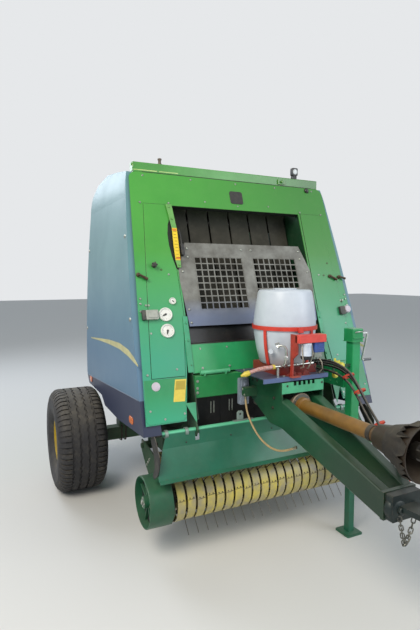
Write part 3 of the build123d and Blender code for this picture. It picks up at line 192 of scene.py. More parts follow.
def around(radius, turn, height=0.0):
    """Point at that radius, turn and height about a frame's third axis."""
    return Vector((radius * math.cos(turn), radius * math.sin(turn), height))


def bridge(bm, rings, closed=False):
    """Joins each ring of vertices to the next with four-sided faces."""
    for near, far in zip(rings, rings[1:] + (rings[:1] if closed else [])):
        for k in range(len(near)):
            j = (k + 1) % len(near)
            bm.faces.new((near[k], near[j], far[j], far[k]))


def add_turned(bm, profile, at, sides=24, closed=False):
    """Adds a turned form: (radius, height) points about the frame's third axis."""
    rings = []
    for radius, height in profile:
        turns = sides if radius > 1e-6 else 1
        rings.append([bm.verts.new(at @ around(radius, math.tau * i / sides, height)) for i in range(turns)])
    pairs = list(zip(rings, rings[1:])) + ([(rings[-1], rings[0])] if closed else [])
    for low, high in pairs:
        for i in range(sides):
            j = (i + 1) % sides
            corners = [low[i % len(low)], low[j % len(low)], high[j % len(high)], high[i % len(high)]]
            corners = [corner for k, corner in enumerate(corners) if corner not in corners[:k]]
            if len(corners) > 2:
                bm.faces.new(corners)


def add_disc(bm, radius, height, at, sides):
    """Adds a plain disc or peg that stands on the frame's plane."""
    add_turned(bm, [(0, 0), (radius, 0), (radius, height), (0, height)], at, sides)


def add_sleeve(bm, inner, outer, start, end, at, sides):
    """Adds a plain ring or sleeve between two heights."""
    add_turned(bm, [(inner, start), (outer, start), (outer, end), (inner, end)], at, sides, closed=True)


def add_rod(bm, start, end, radius, sides=20, end_radius=None):
    """Adds a closed round bar, or a hexagonal one of six sides, between two points."""
    start, end = Vector(start), Vector(end)
    axis = end - start
    at = Matrix.Translation(start) @ axis.to_track_quat("Z", "Y").to_matrix().to_4x4()
    last = radius if end_radius is None else end_radius
    add_turned(bm, [(0, 0), (radius, 0), (last, axis.length), (0, axis.length)], at, sides)


def add_piece(name, bm, material, body="chassis", bevel=0.0, angle=40):
    """Turns the mesh into a shaded piece that rides on a body, the chassis unless one is named."""
    mesh = bpy.data.meshes.new(name)
    bmesh.ops.recalc_face_normals(bm, faces=bm.faces)
    bm.to_mesh(mesh)
    bm.free()
    mesh.materials.append(material)
    mesh.shade_smooth()
    mesh.set_sharp_from_angle(angle=math.radians(angle))
    made = bpy.data.objects.new(name, mesh)
    scene.collection.objects.link(made)
    if bevel:
        edges = made.modifiers.new("edges", "BEVEL")
        edges.width = bevel
        edges.segments = 2
        edges.angle_limit = math.radians(35)
    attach(made, body)
    return made


HOSE_RADIUS = 0.008
HOSES = {
    # name: cap's colour, length, route
    "hose_lift": ("#2456A8", 1.36, (
        (0.285, -0.574, 1.336), (0.286, -0.65, 1.35), (0.294, -0.78, 1.388), (0.318, -0.93, 1.398),
        (0.345, -1.07, 1.352), (0.352, -1.16, 1.258), (0.34, -1.25, 1.165), (0.312, -1.36, 1.092),
        (0.27, -1.47, 1.038), (0.215, -1.58, 0.99), (0.165, -1.67, 0.962), (0.122, -1.74, 0.953),
    )),
    "hose_gate": ("#D8D8D2", 1.335, (
        (0.315, -0.574, 1.335), (0.318, -0.655, 1.342), (0.33, -0.784, 1.366), (0.353, -0.926, 1.37),
        (0.379, -1.056, 1.32), (0.386, -1.14, 1.226), (0.374, -1.232, 1.134), (0.346, -1.345, 1.062),
        (0.304, -1.458, 1.01), (0.249, -1.566, 0.962), (0.204, -1.652, 0.94), (0.168, -1.72, 0.932),
    )),
    "hose_return": ("#C22A22", 1.306, (
        (0.345, -0.574, 1.335), (0.35, -0.66, 1.334), (0.364, -0.792, 1.344), (0.388, -0.918, 1.338),
        (0.412, -1.03, 1.284), (0.42, -1.118, 1.192), (0.408, -1.214, 1.1), (0.381, -1.33, 1.03),
        (0.34, -1.444, 0.978), (0.286, -1.552, 0.932), (0.24, -1.632, 0.902), (0.203, -1.698, 0.886),
    )),
    "hose_pickup": ("#2456A8", 1.257, (
        (0.3, -0.574, 1.305), (0.303, -0.652, 1.308), (0.313, -0.782, 1.318), (0.336, -0.922, 1.318),
        (0.362, -1.05, 1.268), (0.369, -1.133, 1.176), (0.357, -1.222, 1.086), (0.33, -1.334, 1.016),
        (0.288, -1.446, 0.966), (0.236, -1.55, 0.92), (0.203, -1.612, 0.896), (0.178, -1.66, 0.88),
    )),
}
hose_rubber = finish("hose_cover_rubber", "#121317", "#232428", 60, 0.5, grain=1.2, rise=0.4, dust=0.35)
coupler_steel = finish("zinc_plated_coupler_steel", "#8F9296", "#B5B6B2", 20, 0.35, metallic=0.9, dust=0.2)
for number, (hose_name, (cap_colour, length, route)) in enumerate(HOSES.items(), 1):
    hose = lay_hose(hose_name, route, HOSE_RADIUS, hose_rubber)
    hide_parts("hose_hydraulic_" + str(number))
    end = Vector(route[-1])
    along = (end - Vector(route[-2])).normalized()
    bm = bmesh.new()
    add_rod(bm, end, end + along * 0.018, 0.0125)
    add_rod(bm, end + along * 0.018, end + along * 0.03, 0.014, 6)
    add_rod(bm, end + along * 0.03, end + along * 0.046, 0.0105)
    coupler = add_piece("coupler_" + hose_name, bm, coupler_steel, bevel=0.0008)
    bm = bmesh.new()
    add_rod(bm, end + along * 0.044, end + along * 0.066, 0.0135)
    add_rod(bm, end + along * 0.066, end + along * 0.069, 0.0135, end_radius=0.01)
    cap_plastic = finish("dust_cap_plastic_" + hose_name, cap_colour, cap_colour, 30, 0.4)
    cap = add_piece("cap_" + hose_name, bm, cap_plastic)
    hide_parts("hose_plugs")

# Hose ties: loops of orange webbing that hold the four hoses in one bundle beside the drawbar.
TIES = ((0.378, -1.03, 1.302, 0.0), (0.386, -1.135, 1.214, -0.3), (0.348, -1.352, 1.05, -0.9))
TIE_HALF_WIDTH = 0.046
TIE_HALF_DEPTH = 0.034
TIE_STEPS = 32
bm = bmesh.new()
for x, y, z, lean in TIES:
    at = facing((x, y, z), (0.1, -0.75, -1 - lean * 0.2), (1, 0, 0))
    rings = []
    for i in range(TIE_STEPS):
        turn = math.tau * i / TIE_STEPS
        outline = Vector((TIE_HALF_DEPTH * math.cos(turn), TIE_HALF_WIDTH * math.sin(turn), 0))
        rings.append([bm.verts.new(at @ (outline * scale + Vector((0, 0, rise))))
                      for scale, rise in ((1, -0.007), (1.05, -0.007), (1.05, 0.007), (1, 0.007))])
    bridge(bm, rings, closed=True)
tie_webbing = finish("orange_tie_webbing", "#C8402A", "#A8331F", 25, 0.8, grain=1.5, rise=0.5)
add_piece("hose_ties", bm, tie_webbing, bevel=0.0006)

# Grease hose: a tan nylon hose that hangs in a bow from a clamp on the console to the drawbar,
# where a small fitting takes it into the beam. Its ferrules are crimped steel.
GREASE_ROUTE = (
    (-0.258, -0.676, 1.149), (-0.259, -0.683, 1.108), (-0.26, -0.704, 1.04), (-0.252, -0.756, 0.962),
    (-0.238, -0.834, 0.89), (-0.22, -0.926, 0.85), (-0.202, -1.02, 0.848), (-0.186, -1.106, 0.88),
    (-0.175, -1.172, 0.918),
)
grease_nylon = finish("tan_nylon_hose", "#B59C6C", "#9A8560", 30, 0.45, dust=0.15)
grease_hose = lay_hose("hose_grease_line", GREASE_ROUTE, 0.007, grease_nylon)
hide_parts("hose_grease")
bm = bmesh.new()
for start, toward in ((GREASE_ROUTE[0], GREASE_ROUTE[1]), (GREASE_ROUTE[-1], GREASE_ROUTE[-2])):
    start = Vector(start)
    along = (Vector(toward) - start).normalized()
    add_rod(bm, start, start + along * 0.024, 0.0088)
    add_rod(bm, start - along * 0.006, start + along * 0.004, 0.0105, 6)
ferrule_steel = finish("crimped_ferrule_steel", "#A9A48E", "#8C8672", 12, 0.35, metallic=0.9)
add_piece("grease_ferrules", bm, ferrule_steel, bevel=0.0006)

# Floor and light: a pale studio floor that runs out of sight, a large soft lamp high on the left, a
# weaker one on the right, a third behind the machine and a pale sky.
floor_mesh = bmesh.new()
bmesh.ops.create_grid(floor_mesh, x_segments=1, y_segments=1, size=40)
floor_data = bpy.data.meshes.new("studio_floor")
floor_mesh.to_mesh(floor_data)
floor_mesh.free()
floor = bpy.data.objects.new("studio_floor", floor_data)
scene.collection.objects.link(floor)
floor_paint = bpy.data.materials.new("pale_floor")
floor_paint.use_nodes = True
floor_paint.node_tree.nodes["Principled BSDF"].inputs["Base Color"].default_value = linear("#D9D9D6")
floor_paint.node_tree.nodes["Principled BSDF"].inputs["Roughness"].default_value = 0.9
floor_data.materials.append(floor_paint)


def add_lamp(name, place, aim, size, power, colour):
    """Soft square lamp at a place, facing a point."""
    lamp_data = bpy.data.lights.new(name, "AREA")
    lamp_data.size = size
    lamp_data.energy = power
    lamp_data.color = linear(colour)[:3]
    lamp = bpy.data.objects.new(name, lamp_data)
    lamp.location = place
    lamp.rotation_euler = (Vector(aim) - Vector(place)).to_track_quat("-Z", "Y").to_euler()
    scene.collection.objects.link(lamp)


add_lamp("key", (-5.0, -4.0, 6.5), (0, 0, 1.4), 3.5, 500, "#FFF6E8")
add_lamp("fill", (4.5, -6.0, 4.0), (0, 0, 1.2), 4.0, 190, "#F4F8FF")
add_lamp("rim", (-3.0, 6.5, 6.0), (0, 0.5, 1.5), 4.0, 240, "#EAF2FF")
sky = bpy.data.worlds.new("pale_sky")
scene.world = sky
sky.use_nodes = True
sky.node_tree.nodes.clear()
seen = add_node(sky.node_tree, "LightPath")
direct = add_node(sky.node_tree, "Math", [(0, seen, "Is Camera Ray"), (1, seen, "Is Glossy Ray")],
                  operation="MAXIMUM")
light_sky = add_node(sky.node_tree, "Background", Color=linear("#DCE6F0"), Strength=0.5)
seen_sky = add_node(sky.node_tree, "Background", Color=linear("#E6E8EA"), Strength=1.0)
both = add_node(sky.node_tree, "MixShader", [(0, direct, "Value"), (1, light_sky, "Background"),
                                             (2, seen_sky, "Background")])
add_node(sky.node_tree, "OutputWorld", [("Surface", both, "Shader")])


# Front surround: one pressed sheet in bright green enamel, with painted shade darker towards the
# machine's left and a painted bluish sky reflection low down, with a door sheet on each pillar
# ringed by a painted shadow line, and a folded foot sheet under it, drawn darker as painted shade.
# Zinc-plated screws hold the doors.
def dress(node, material):
    """Gives a carried-over CAD node its material."""
    nodes[node].data.materials.clear()
    nodes[node].data.materials.append(material)


def add_plate(bm, outline, thickness, at):
    """Adds a flat sheet of that outline, standing on the frame's plane."""
    low = [bm.verts.new(at @ Vector((x, y, 0))) for x, y in outline]
    high = [bm.verts.new(at @ Vector((x, y, thickness))) for x, y in outline]
    bm.faces.new(low[::-1])
    bm.faces.new(high)
    for i in range(len(outline)):
        j = (i + 1) % len(outline)
        bm.faces.new((low[i], low[j], high[j], high[i]))


def add_pad(bm, size, thickness, at):
    """Adds a plate with rounded corners; size is half its width, half its height and the corner."""
    add_plate(bm, rounded_outline(*size), thickness, at)


def add_bolt(bm, at, size=0.009):
    """Adds a washer with a hexagon head on it; the size is half the head's width."""
    add_disc(bm, size * 1.35, size * 0.2, at, 16)
    add_turned(bm, [(0, 0), (size, 0), (size, size * 0.75), (size * 0.85, size * 0.9), (0, size * 0.9)],
               at, 6)


def add_bolt_ring(bm, at, radius, degrees, size, height=0.0):
    """Adds bolts at those turns about a frame's third axis."""
    for turn in degrees:
        add_bolt(bm, at @ Matrix.Translation(around(radius, math.radians(turn), height)), size)


FRONT_LEAN = 0.34
FRONT_TOP = (-0.1, 2.57)
OUT_OF_FRONT = (0, -1, FRONT_LEAN)


def on_front(x, z, proud=0.0):
    """Frame on the front sheet's face at x and z, raised off it by proud."""
    at = facing((x, FRONT_TOP[0] - FRONT_LEAN * (FRONT_TOP[1] - z), z), OUT_OF_FRONT)
    return at @ Matrix.Translation((0, 0, proud))


def front_outline(corners):
    """Outline on the front sheet, from corners given as x and height above the ground."""
    slope = math.hypot(1, FRONT_LEAN)
    return [(x, (z - FRONT_TOP[1]) * slope) for x, z in corners]


def add_front_sheet(bm, corners, thickness, proud=0.0):
    """Adds a flat sheet on the front sheet, from corners given as x and height above the ground."""
    add_plate(bm, front_outline(corners), thickness, on_front(0, FRONT_TOP[1], proud))


SIDES = (-1, 1)
NAMED_SIDES = (("left", 1), ("right", -1))
BOW = ((0.612, 2.47), (0.646, 2.4), (0.659, 2.322), (0.658, 2.237), (0.645, 2.15), (0.622, 2.06))
DOOR = (
    (0.822, 2.553), (0.622, 2.553), *BOW, (0.614, 1.715), (0.628, 1.64), (0.662, 1.304), (0.912, 1.304),
    (0.89, 1.64),
)
FOOT_SHEET = ((0.968, 1.296), (0.662, 1.296), (0.693, 1.035), (0.72, 1.016), (0.965, 1.016), (0.984, 1.04))
DOOR_SHEET = 0.003
# Painted light: the first zone paints shade towards the machine's left, the second a bluish sky reflection
# low down.
enamel_painted_shade = ("#37802F", (1, 0, 0.15), -0.2, 1.05)
enamel_painted_sky_low = ("#349A78", (0, 0, -1), -2.2, -1.42)
panel_green = finish("bright_green_enamel", "#489C3A", "#3F9334", 420, 0.36, dust=0.05, chips=0.5,
                     grain=5, rise=0.06, coat=0.15, zones=[enamel_painted_shade, enamel_painted_sky_low])
dress("front_surround", panel_green)
bm = bmesh.new()
# Painted shadow: dark sheets a little larger than the doors, and a dark crescent in the right door's bowed
# cut-out, stand for the shade in the gaps.
gap = bmesh.new()
for side in SIDES:
    door = [(side * x, z) for x, z in DOOR if side < 0 or (x, z) not in BOW]
    middle = (side * 0.765, 1.93)
    wide = [(middle[0] + (x - middle[0]) * 1.022, middle[1] + (z - middle[1]) * 1.004) for x, z in door]
    add_front_sheet(bm, door, DOOR_SHEET, 0.0008)
    add_front_sheet(gap, wide, 0.001, 0.0002)
bowed = [(0.603, 2.47)] + list(BOW) + [(0.603, 2.05)]
add_front_sheet(gap, [(-x, z) for x, z in bowed], 0.0015, 0.0002)
add_piece("pillar_doors", bm, panel_green, bevel=0.0012)
gap_shadow = finish("door_gap_painted_shadow", "#0C170E", "#101A12", 40, 0.8, dust=0.05)
add_piece("pillar_door_gap_shadows", gap, gap_shadow)
# Painted light: the foot sheet's darker green is painted shade, and its bluish zone at the bottom is a
# painted sky reflection.
foot_shaded_green = finish("foot_sheet_green_enamel", "#268F58", "#20834F", 260, 0.36, dust=0.06, chips=0.6,
                    grain=5, rise=0.06, coat=0.15, zones=[("#2A9C74", (0, 0, -1), -1.2, -1.04)])
bm = bmesh.new()
for side in SIDES:
    add_front_sheet(bm, [(side * x, z) for x, z in FOOT_SHEET], 0.004)
add_piece("pillar_foot_sheets", bm, foot_shaded_green, bevel=0.0018)
PILLAR_SCREWS = (
    (0.848, 2.558), (0.618, 2.565), (0.93, 1.845), (0.932, 1.81), (0.936, 1.757), (0.894, 1.798),
    (0.873, 1.797), (0.691, 2.017), (0.88, 1.604), (0.721, 1.352), (0.94, 1.33), (0.948, 1.1),
    (0.705, 1.06), (0.85, 1.04),
)
screw_zinc = finish("zinc_plated_screw_steel", "#A9ADA6", "#8F948C", 12, 0.35, metallic=0.8, dust=0.2)
bm = bmesh.new()
for side in SIDES:
    for x, z in PILLAR_SCREWS:
        add_bolt(bm, on_front(side * x, z, 0.004), 0.006)
add_piece("pillar_screws", bm, screw_zinc, bevel=0.0005)

# Header: its badge place carries a plain black plate with rounded corners, and a rubber strip
# seals the gap between the sheet and the cross tube over it.
BADGE_HALF = 0.06
BADGE_CORNER = 0.018
TOP_TUBE_FACE = -0.0138


def rounded_outline(half_x, half_y, corner, middle=(0, 0), steps=5):
    """Rectangle with rounded corners about a middle."""
    outline = []
    for quarter, (sx, sy) in enumerate(((1, 1), (-1, 1), (-1, -1), (1, -1))):
        for step in range(steps + 1):
            turn = math.radians(90 * quarter + 90 * step / steps)
            outline.append((middle[0] + sx * (half_x - corner) + corner * math.cos(turn),
                            middle[1] + sy * (half_y - corner) + corner * math.sin(turn)))
    return outline


bm = bmesh.new()
badge_at = on_front(-0.004, 2.655)
add_pad(bm, (BADGE_HALF, BADGE_HALF * 0.94, BADGE_CORNER), 0.004, badge_at)
for side in SIDES:
    add_turned(bm, [(0, 0.004), (0.004, 0.004), (0.003, 0.006), (0, 0.0065)],
               badge_at @ Matrix.Translation((side * 0.045, 0, 0)), 12)
badge_plastic = finish("black_badge_plastic", "#1B1C1B", "#242522", 40, 0.3, coat=0.3, dust=0.15)
add_piece("header_plate", bm, badge_plastic, bevel=0.0015)
# Painted shade: a near-black strip on the header's underside along the top of the opening.
bm = bmesh.new()
under = facing((0, -0.083, 2.5415), (0, -0.322, -0.947), (0, 0.947, -0.322))
add_pad(bm, (0.596, 0.022, 0.002), 0.002, under)
underside_shade = finish("header_underside_painted_shade", "#101811", "#0C120D", 50, 0.7, dust=0.05)
add_piece("header_underside_shade_sheet", bm, underside_shade, bevel=0.0006)
seal_rubber = finish("dark_seal_rubber", "#22351C", "#1C2A18", 60, 0.75, dust=0.1)
bm = bmesh.new()
add_pad(bm, (0.8, 0.0035, 0.003), 0.005, to_front(0, TOP_TUBE_FACE, 2.803))
add_piece("header_seal", bm, seal_rubber, bevel=0.001)
bm = bmesh.new()
for x in (-0.8, -0.4, 0.01, 0.4, 0.8):
    add_bolt(bm, on_front(x, 2.775), 0.006)
add_bolt(bm, on_front(-0.002, 2.582), 0.005)
for x, z in ((-0.3, 2.6), (0.3, 2.6)):
    add_bolt(bm, on_front(x, z), 0.005)
add_piece("header_screws", bm, screw_zinc, bevel=0.0005)

# Top cross tube: rolled box section in the same enamel, with painted shade darker towards the machine's
# left and a painted highlight along its front face, with an ear and a bush at each end and small welded
# brackets and a plug on it.
# The zone paints shade, darker towards the machine's left end.
tube_green = finish("tube_green_enamel", "#4E9A44", "#428A38", 300, 0.3, dust=0.08, chips=0.8,
                    chip_colour="#C9C48A", grain=5, rise=0.06, coat=0.2,
                    zones=[("#356E2C", (1, 0, 0), 0.0, 0.75)])
dress("top_tube", tube_green)
bm = bmesh.new()
for side in SIDES:
    add_pad(bm, (0.034, 0.034, 0.012), 0.004, to_side(side, 0.868, 0.026, 2.842))
    at = to_side(side, 0.872, 0.01, 2.862)
    add_turned(bm, [(0, 0), (0.012, 0), (0.012, 0.003), (0.009, 0.005), (0, 0.005)], at, 20)
add_pad(bm, (0.038, 0.022, 0.006), 0.012, to_front(0.48, TOP_TUBE_FACE, 2.836))
add_turned(bm, [(0, 0), (0.013, 0), (0.013, 0.02), (0, 0.022)], to_front(0.48, -0.024, 2.836), 16)
add_piece("top_tube_brackets", bm, tube_green, bevel=0.0012)
# Painted highlight: pale strips on the tube's front face stand for the light along it.
bm = bmesh.new()
for middle, half in ((-0.77, 0.095), (-0.58, 0.08)):
    add_pad(bm, (half, 0.0034, 0.003), 0.001, to_front(middle, -0.0141, 2.818))
top_tube_highlight_paint = finish("painted_highlight_enamel", "#C2D592", "#9CC272", 60, 0.25, dust=0.05)
add_piece("top_tube_painted_highlight", bm, top_tube_highlight_paint)
bm = bmesh.new()
add_turned(bm, [(0, 0), (0.018, 0), (0.018, 0.008), (0.012, 0.013), (0.012, 0.034), (0.016, 0.038),
                (0.016, 0.048), (0.008, 0.052), (0, 0.052)], to_top(-0.64, 0.026, 2.878), 20)
plug_steel = finish("weathered_plug_steel", "#6E6257", "#57504A", 12, 0.55, metallic=0.6)
add_piece("top_tube_breather", bm, plug_steel, bevel=0.0008)
bm = bmesh.new()
add_turned(bm, [(0, 0), (0.022, 0), (0.021, 0.01), (0.014, 0.018), (0, 0.021)], on_front(0.742, 2.775), 24)
add_piece("header_dome", bm, badge_plastic)

# Bale-size scale: a flat steel bar across a bowed cut-out of the right pillar's door, with a yellow
# scale strip on it and a pointer. The strip has plain brown marks and an orange end each way.
SCALE_BAR = (
    (-0.648, 2.552), (-0.6, 2.552), (-0.583, 2.366), (-0.586, 2.12), (-0.588, 2.066), (-0.616, 2.066),
    (-0.627, 2.12), (-0.623, 2.366),
)
SCALE_STRIP = ((-0.583, 2.366), (-0.5845, 2.243), (-0.587, 2.12), (-0.6265, 2.12), (-0.6275, 2.243),
               (-0.6225, 2.366))
SCALE_MARKS = 9
BAR_PROUD = 0.012
bm = bmesh.new()
add_front_sheet(bm, SCALE_BAR, 0.004, BAR_PROUD)
for x, z in ((-0.626, 2.53), (-0.602, 2.085), (-0.613, 2.437)):
    add_disc(bm, 0.008, BAR_PROUD, on_front(x, z), 16)
    add_bolt(bm, on_front(x, z, BAR_PROUD + 0.004), 0.007)
bar_green = finish("scale_bar_green_enamel", "#6BA658", "#58964A", 120, 0.35, dust=0.15, chips=0.6)
add_piece("scale_bar", bm, bar_green, bevel=0.0008)
bm = bmesh.new()
add_front_sheet(bm, SCALE_STRIP, 0.0015, BAR_PROUD + 0.004)
scale_yellow = finish("yellow_scale_vinyl", "#E8CB2E", "#DDBB22", 90, 0.35, dust=0.06)
add_piece("scale_strip", bm, scale_yellow, bevel=0.0004)
marks = bmesh.new()
ends = bmesh.new()
for mark in range(SCALE_MARKS):
    z = 2.34 - mark * 0.025
    add_pad(marks, (0.01 if mark % 2 else 0.015, 0.0013, 0.001), 0.0006,
            on_front(-0.605, z, BAR_PROUD + 0.0055))
for z in (2.352, 2.136):
    add_pad(ends, (0.017, 0.009, 0.002), 0.0004, on_front(-0.6045, z, BAR_PROUD + 0.0055))
add_piece("scale_marks", marks, finish("brown_scale_ink", "#4A3A16", "#3B2E12", 20, 0.5))
add_piece("scale_ends", ends, finish("orange_scale_ink", "#D98A1E", "#C97C18", 20, 0.5))
bm = bmesh.new()
add_pad(bm, (0.012, 0.046, 0.008), 0.03, on_front(-0.563, 2.198, 0.004))
add_rod(bm, on_front(-0.56, 2.3) @ Vector((0, 0, 0.018)), on_front(-0.572, 2.352) @ Vector((0, 0, 0.024)),
        0.005)
add_rod(bm, on_front(-0.563, 2.23) @ Vector((0, 0, 0.018)), on_front(-0.56, 2.304) @ Vector((0, 0, 0.018)),
        0.004)
pointer_black = finish("black_pointer_plastic", "#17181A", "#222326", 30, 0.45, dust=0.25)
add_piece("scale_pointer", bm, pointer_black, bevel=0.002)

# Latches: browned steel latches with levers on both pillars and a lobed plastic knob. The right pillar
# has a grey latch box with a dark end, the left one a dark box beside a pale reflector.
bm = bmesh.new()
add_turned(bm, [(0, 0), (0.017, 0), (0.017, 0.006), (0.01, 0.01), (0.01, 0.022), (0.015, 0.028),
                (0.015, 0.036), (0, 0.04)], on_front(-0.8, 2.08, 0.003), 10)
for lobe in range(5):
    turn = math.tau * lobe / 5
    add_rod(bm, on_front(-0.8, 2.08) @ around(0.016, turn, 0.024),
            on_front(-0.8, 2.08) @ around(0.016, turn, 0.038), 0.006, 12)
knob_plastic = finish("black_knob_plastic", "#1A1B1A", "#252624", 20, 0.5, dust=0.3)
add_piece("door_knob", bm, knob_plastic, bevel=0.001)
LATCHES = (
    # x, height of the pivot, lever's far end
    ((-0.925, 2.014), (-0.862, 1.978)),
    ((0.806, 2.004), (0.866, 1.972)),
    ((0.906, 1.998), (0.962, 1.98)),
)
latch_steel = finish("browned_latch_steel", "#4B3A28", "#37291D", 15, 0.5, metallic=0.5, dust=0.25)
bm = bmesh.new()
for (x, z), (far_x, far_z) in LATCHES:
    add_turned(bm, [(0, 0), (0.016, 0), (0.016, 0.01), (0.009, 0.014), (0.009, 0.024), (0, 0.024)],
               on_front(x, z, 0.003), 18)
    add_rod(bm, on_front(x, z) @ Vector((0, 0, 0.021)), on_front(far_x, far_z) @ Vector((0, 0, 0.021)), 0.007,
            12, end_radius=0.011)
for x, z in ((0.809, 2.12), (0.745, 2.013), (-0.745, 2.052), (0.88, 1.785)):
    add_sleeve(bm, 0.004, 0.008, 0.0005, 0.003, on_front(x, z, 0.003), 16)
add_piece("pillar_latches", bm, latch_steel, bevel=0.001)
bm = bmesh.new()
add_pad(bm, (0.046, 0.034, 0.006), 0.03, on_front(-0.862, 1.728, 0.003))
add_pad(bm, (0.034, 0.024, 0.004), 0.004, on_front(-0.858, 1.728, 0.033))
box_plastic = finish("grey_latch_box_plastic", "#A9AEA6", "#969C93", 40, 0.5, dust=0.2)
add_piece("latch_box", bm, box_plastic, bevel=0.0025)
bm = bmesh.new()
add_pad(bm, (0.013, 0.036, 0.004), 0.026, on_front(-0.921, 1.728, 0.003))
add_pad(bm, (0.026, 0.036, 0.008), 0.028, on_front(0.858, 1.708, 0.003))
dark_box = finish("dark_box_plastic", "#3A3F3C", "#2C302E", 40, 0.5, dust=0.3)
add_piece("latch_box_ends", bm, dark_box, bevel=0.002)
bm = bmesh.new()
add_turned(bm, [(0, 0), (0.034, 0), (0.034, 0.02), (0.028, 0.03), (0, 0.032)],
           on_front(0.915, 1.718, 0.003), 24)
lamp_pale = finish("pale_reflector_plastic", "#C9C2CC", "#B7B0BC", 30, 0.3, dust=0.15)
add_piece("pillar_reflector", bm, lamp_pale, bevel=0.001)

# Dials: two white pressure dials and a smaller sight ring on the right pillar, each a turned
# plastic case with a raised rim, plain tick marks and a hand on a boss.
DIALS = ((-0.757, 1.73, 0.05, 205), (-0.757, 1.616, 0.05, 255), (-0.691, 1.823, 0.025, 320))
dial_white = finish("dial_white_plastic", "#E9EBE6", "#D9DBD4", 30, 0.35, dust=0.06)
dial_ink = finish("dial_dark_print", "#2B2D2C", "#3A3C3A", 12, 0.5)
cases = bmesh.new()
prints = bmesh.new()
for x, z, radius, hand in DIALS:
    at = on_front(x, z)
    add_turned(cases, [(0, 0), (radius, 0), (radius, 0.015), (radius * 0.96, 0.019), (radius * 0.86, 0.019),
                       (radius * 0.83, 0.014), (0, 0.014)], at, 40)
    for tick in range(20):
        turn = math.radians(18 * tick)
        along = around(1, turn)
        reach = 0.7 if tick % 5 else 0.6
        tick_at = at @ Matrix.Translation(along * radius * (reach + 0.79) / 2 + Vector((0, 0, 0.014)))
        tick_at = tick_at @ Matrix.Rotation(turn, 4, "Z")
        add_plate(prints, rounded_outline(radius * (0.79 - reach) / 2, radius * 0.016, radius * 0.01,
                                          steps=1), 0.0005, tick_at)
    turn = math.radians(hand)
    hand_at = at @ Matrix.Translation((0, 0, 0.0148)) @ Matrix.Rotation(turn, 4, "Z")
    add_plate(prints, [(-radius * 0.15, -radius * 0.07), (radius * 0.3, -radius * 0.12), (radius * 0.62, 0),
                       (radius * 0.3, radius * 0.12), (-radius * 0.15, radius * 0.07)], 0.0022, hand_at)
    add_turned(prints, [(0, 0.014), (radius * 0.16, 0.014), (radius * 0.14, 0.019), (0, 0.02)], at, 16)
dial_cases = add_piece("dial_cases", cases, dial_white, bevel=0.0006)
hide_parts("dials")
add_piece("dial_hands", prints, dial_ink)

# Small plates: a blank yellow safety plate and a white reflector low on each pillar, and a folded
# strip with bolts beside the lower panel.
bm = bmesh.new()
for side in SIDES:
    corners = [(side * -x, z) for x, z in ((-0.745, 1.286), (-0.66, 1.283), (-0.692, 1.138), (-0.777, 1.142))]
    add_front_sheet(bm, corners, 0.0012, 0.004)
plate_yellow = finish("yellow_sign_vinyl", "#E3CE52", "#D6BE45", 60, 0.35, dust=0.08)
add_piece("blank_sign_plates", bm, plate_yellow, bevel=0.0004)
bm = bmesh.new()
for side in SIDES:
    corners = [(side * -x, z) for x, z in ((-0.739, 1.276), (-0.67, 1.274), (-0.682, 1.216), (-0.753, 1.219))]
    add_front_sheet(bm, corners, 0.0003, 0.0052)
sign_field = finish("faded_sign_field", "#B9A437", "#A9952F", 60, 0.4, dust=0.08)
add_piece("blank_sign_fields", bm, sign_field)
bm = bmesh.new()
for side in SIDES:
    add_turned(bm, [(0, 0), (0.031, 0), (0.031, 0.004), (0.026, 0.006), (0, 0.007)],
               on_front(side * 0.89, 1.252, 0.004), 28)
add_piece("white_reflectors", bm, lamp_pale, bevel=0.0006)
STRIP = ((0.628, 1.712), (0.591, 1.71), (0.592, 1.52), (0.596, 1.322), (0.64, 1.322), (0.634, 1.52))
strip_green = finish("strip_green_enamel", "#3FA277", "#379068", 160, 0.38, dust=0.06, chips=0.8)
bm = bmesh.new()
for side in SIDES:
    add_front_sheet(bm, [(side * x, z) for x, z in STRIP], 0.007, 0.004)
    for x, z in ((0.605, 1.663), (0.607, 1.541), (0.601, 1.373)):
        add_bolt(bm, on_front(side * (x + 0.004), z, 0.011), 0.0075)
    add_front_sheet(bm, [(side * x, z) for x, z in ((0.69, 1.125), (0.612, 1.125), (0.622, 0.986))],
                    0.005, 0.001)
add_piece("opening_strips", bm, strip_green, bevel=0.0015)

# Guard plate: rolled sheet steel over the belts with two punched grilles, zinc coated, gone grey
# and stained, with a painted bluish sky reflection low down. Cup-head bolts and a folded lip hold it.
guard_zinc = finish("weathered_zinc_sheet", "#80817B", "#5E5D57", 110, 0.5, metallic=0.35, dust=0.1, grain=3,
                    rise=0.15, chips=0.4, zones=[("#6D7890", (0, 0, -1), -1.84, -1.7)])
dress("guard_plate", guard_zinc)
bm = bmesh.new()
for side in SIDES:
    for x, z in ((0.518, 2.215), (0.575, 2.04), (0.565, 1.76), (0.045, 2.215), (0.56, 1.665), (0.52, 2.15)):
        add_turned(bm, [(0, 0), (0.01, 0), (0.009, 0.004), (0.005, 0.007), (0, 0.0078)],
                   on_front(side * x, z, 0.004), 16)
add_piece("guard_plate_bolts", bm, screw_zinc)
BEAD_HALF = 0.212
BEAD_WIDTH = 0.004
bm = bmesh.new()
for side in SIDES:
    middle = front_outline([(side * 0.2585, 1.9545)])[0]
    outer = rounded_outline(BEAD_HALF, BEAD_HALF, 0.012, middle)
    inner = rounded_outline(BEAD_HALF - BEAD_WIDTH, BEAD_HALF - BEAD_WIDTH, 0.009, middle)
    at = on_front(0, FRONT_TOP[1], 0.004)
    bridge(bm, [[bm.verts.new(at @ Vector((x, y, rise))) for x, y in outline]
                for outline, rise in ((outer, 0), (outer, 0.0016), (inner, 0.0016), (inner, 0))], closed=True)
add_piece("grille_beads", bm, guard_zinc)

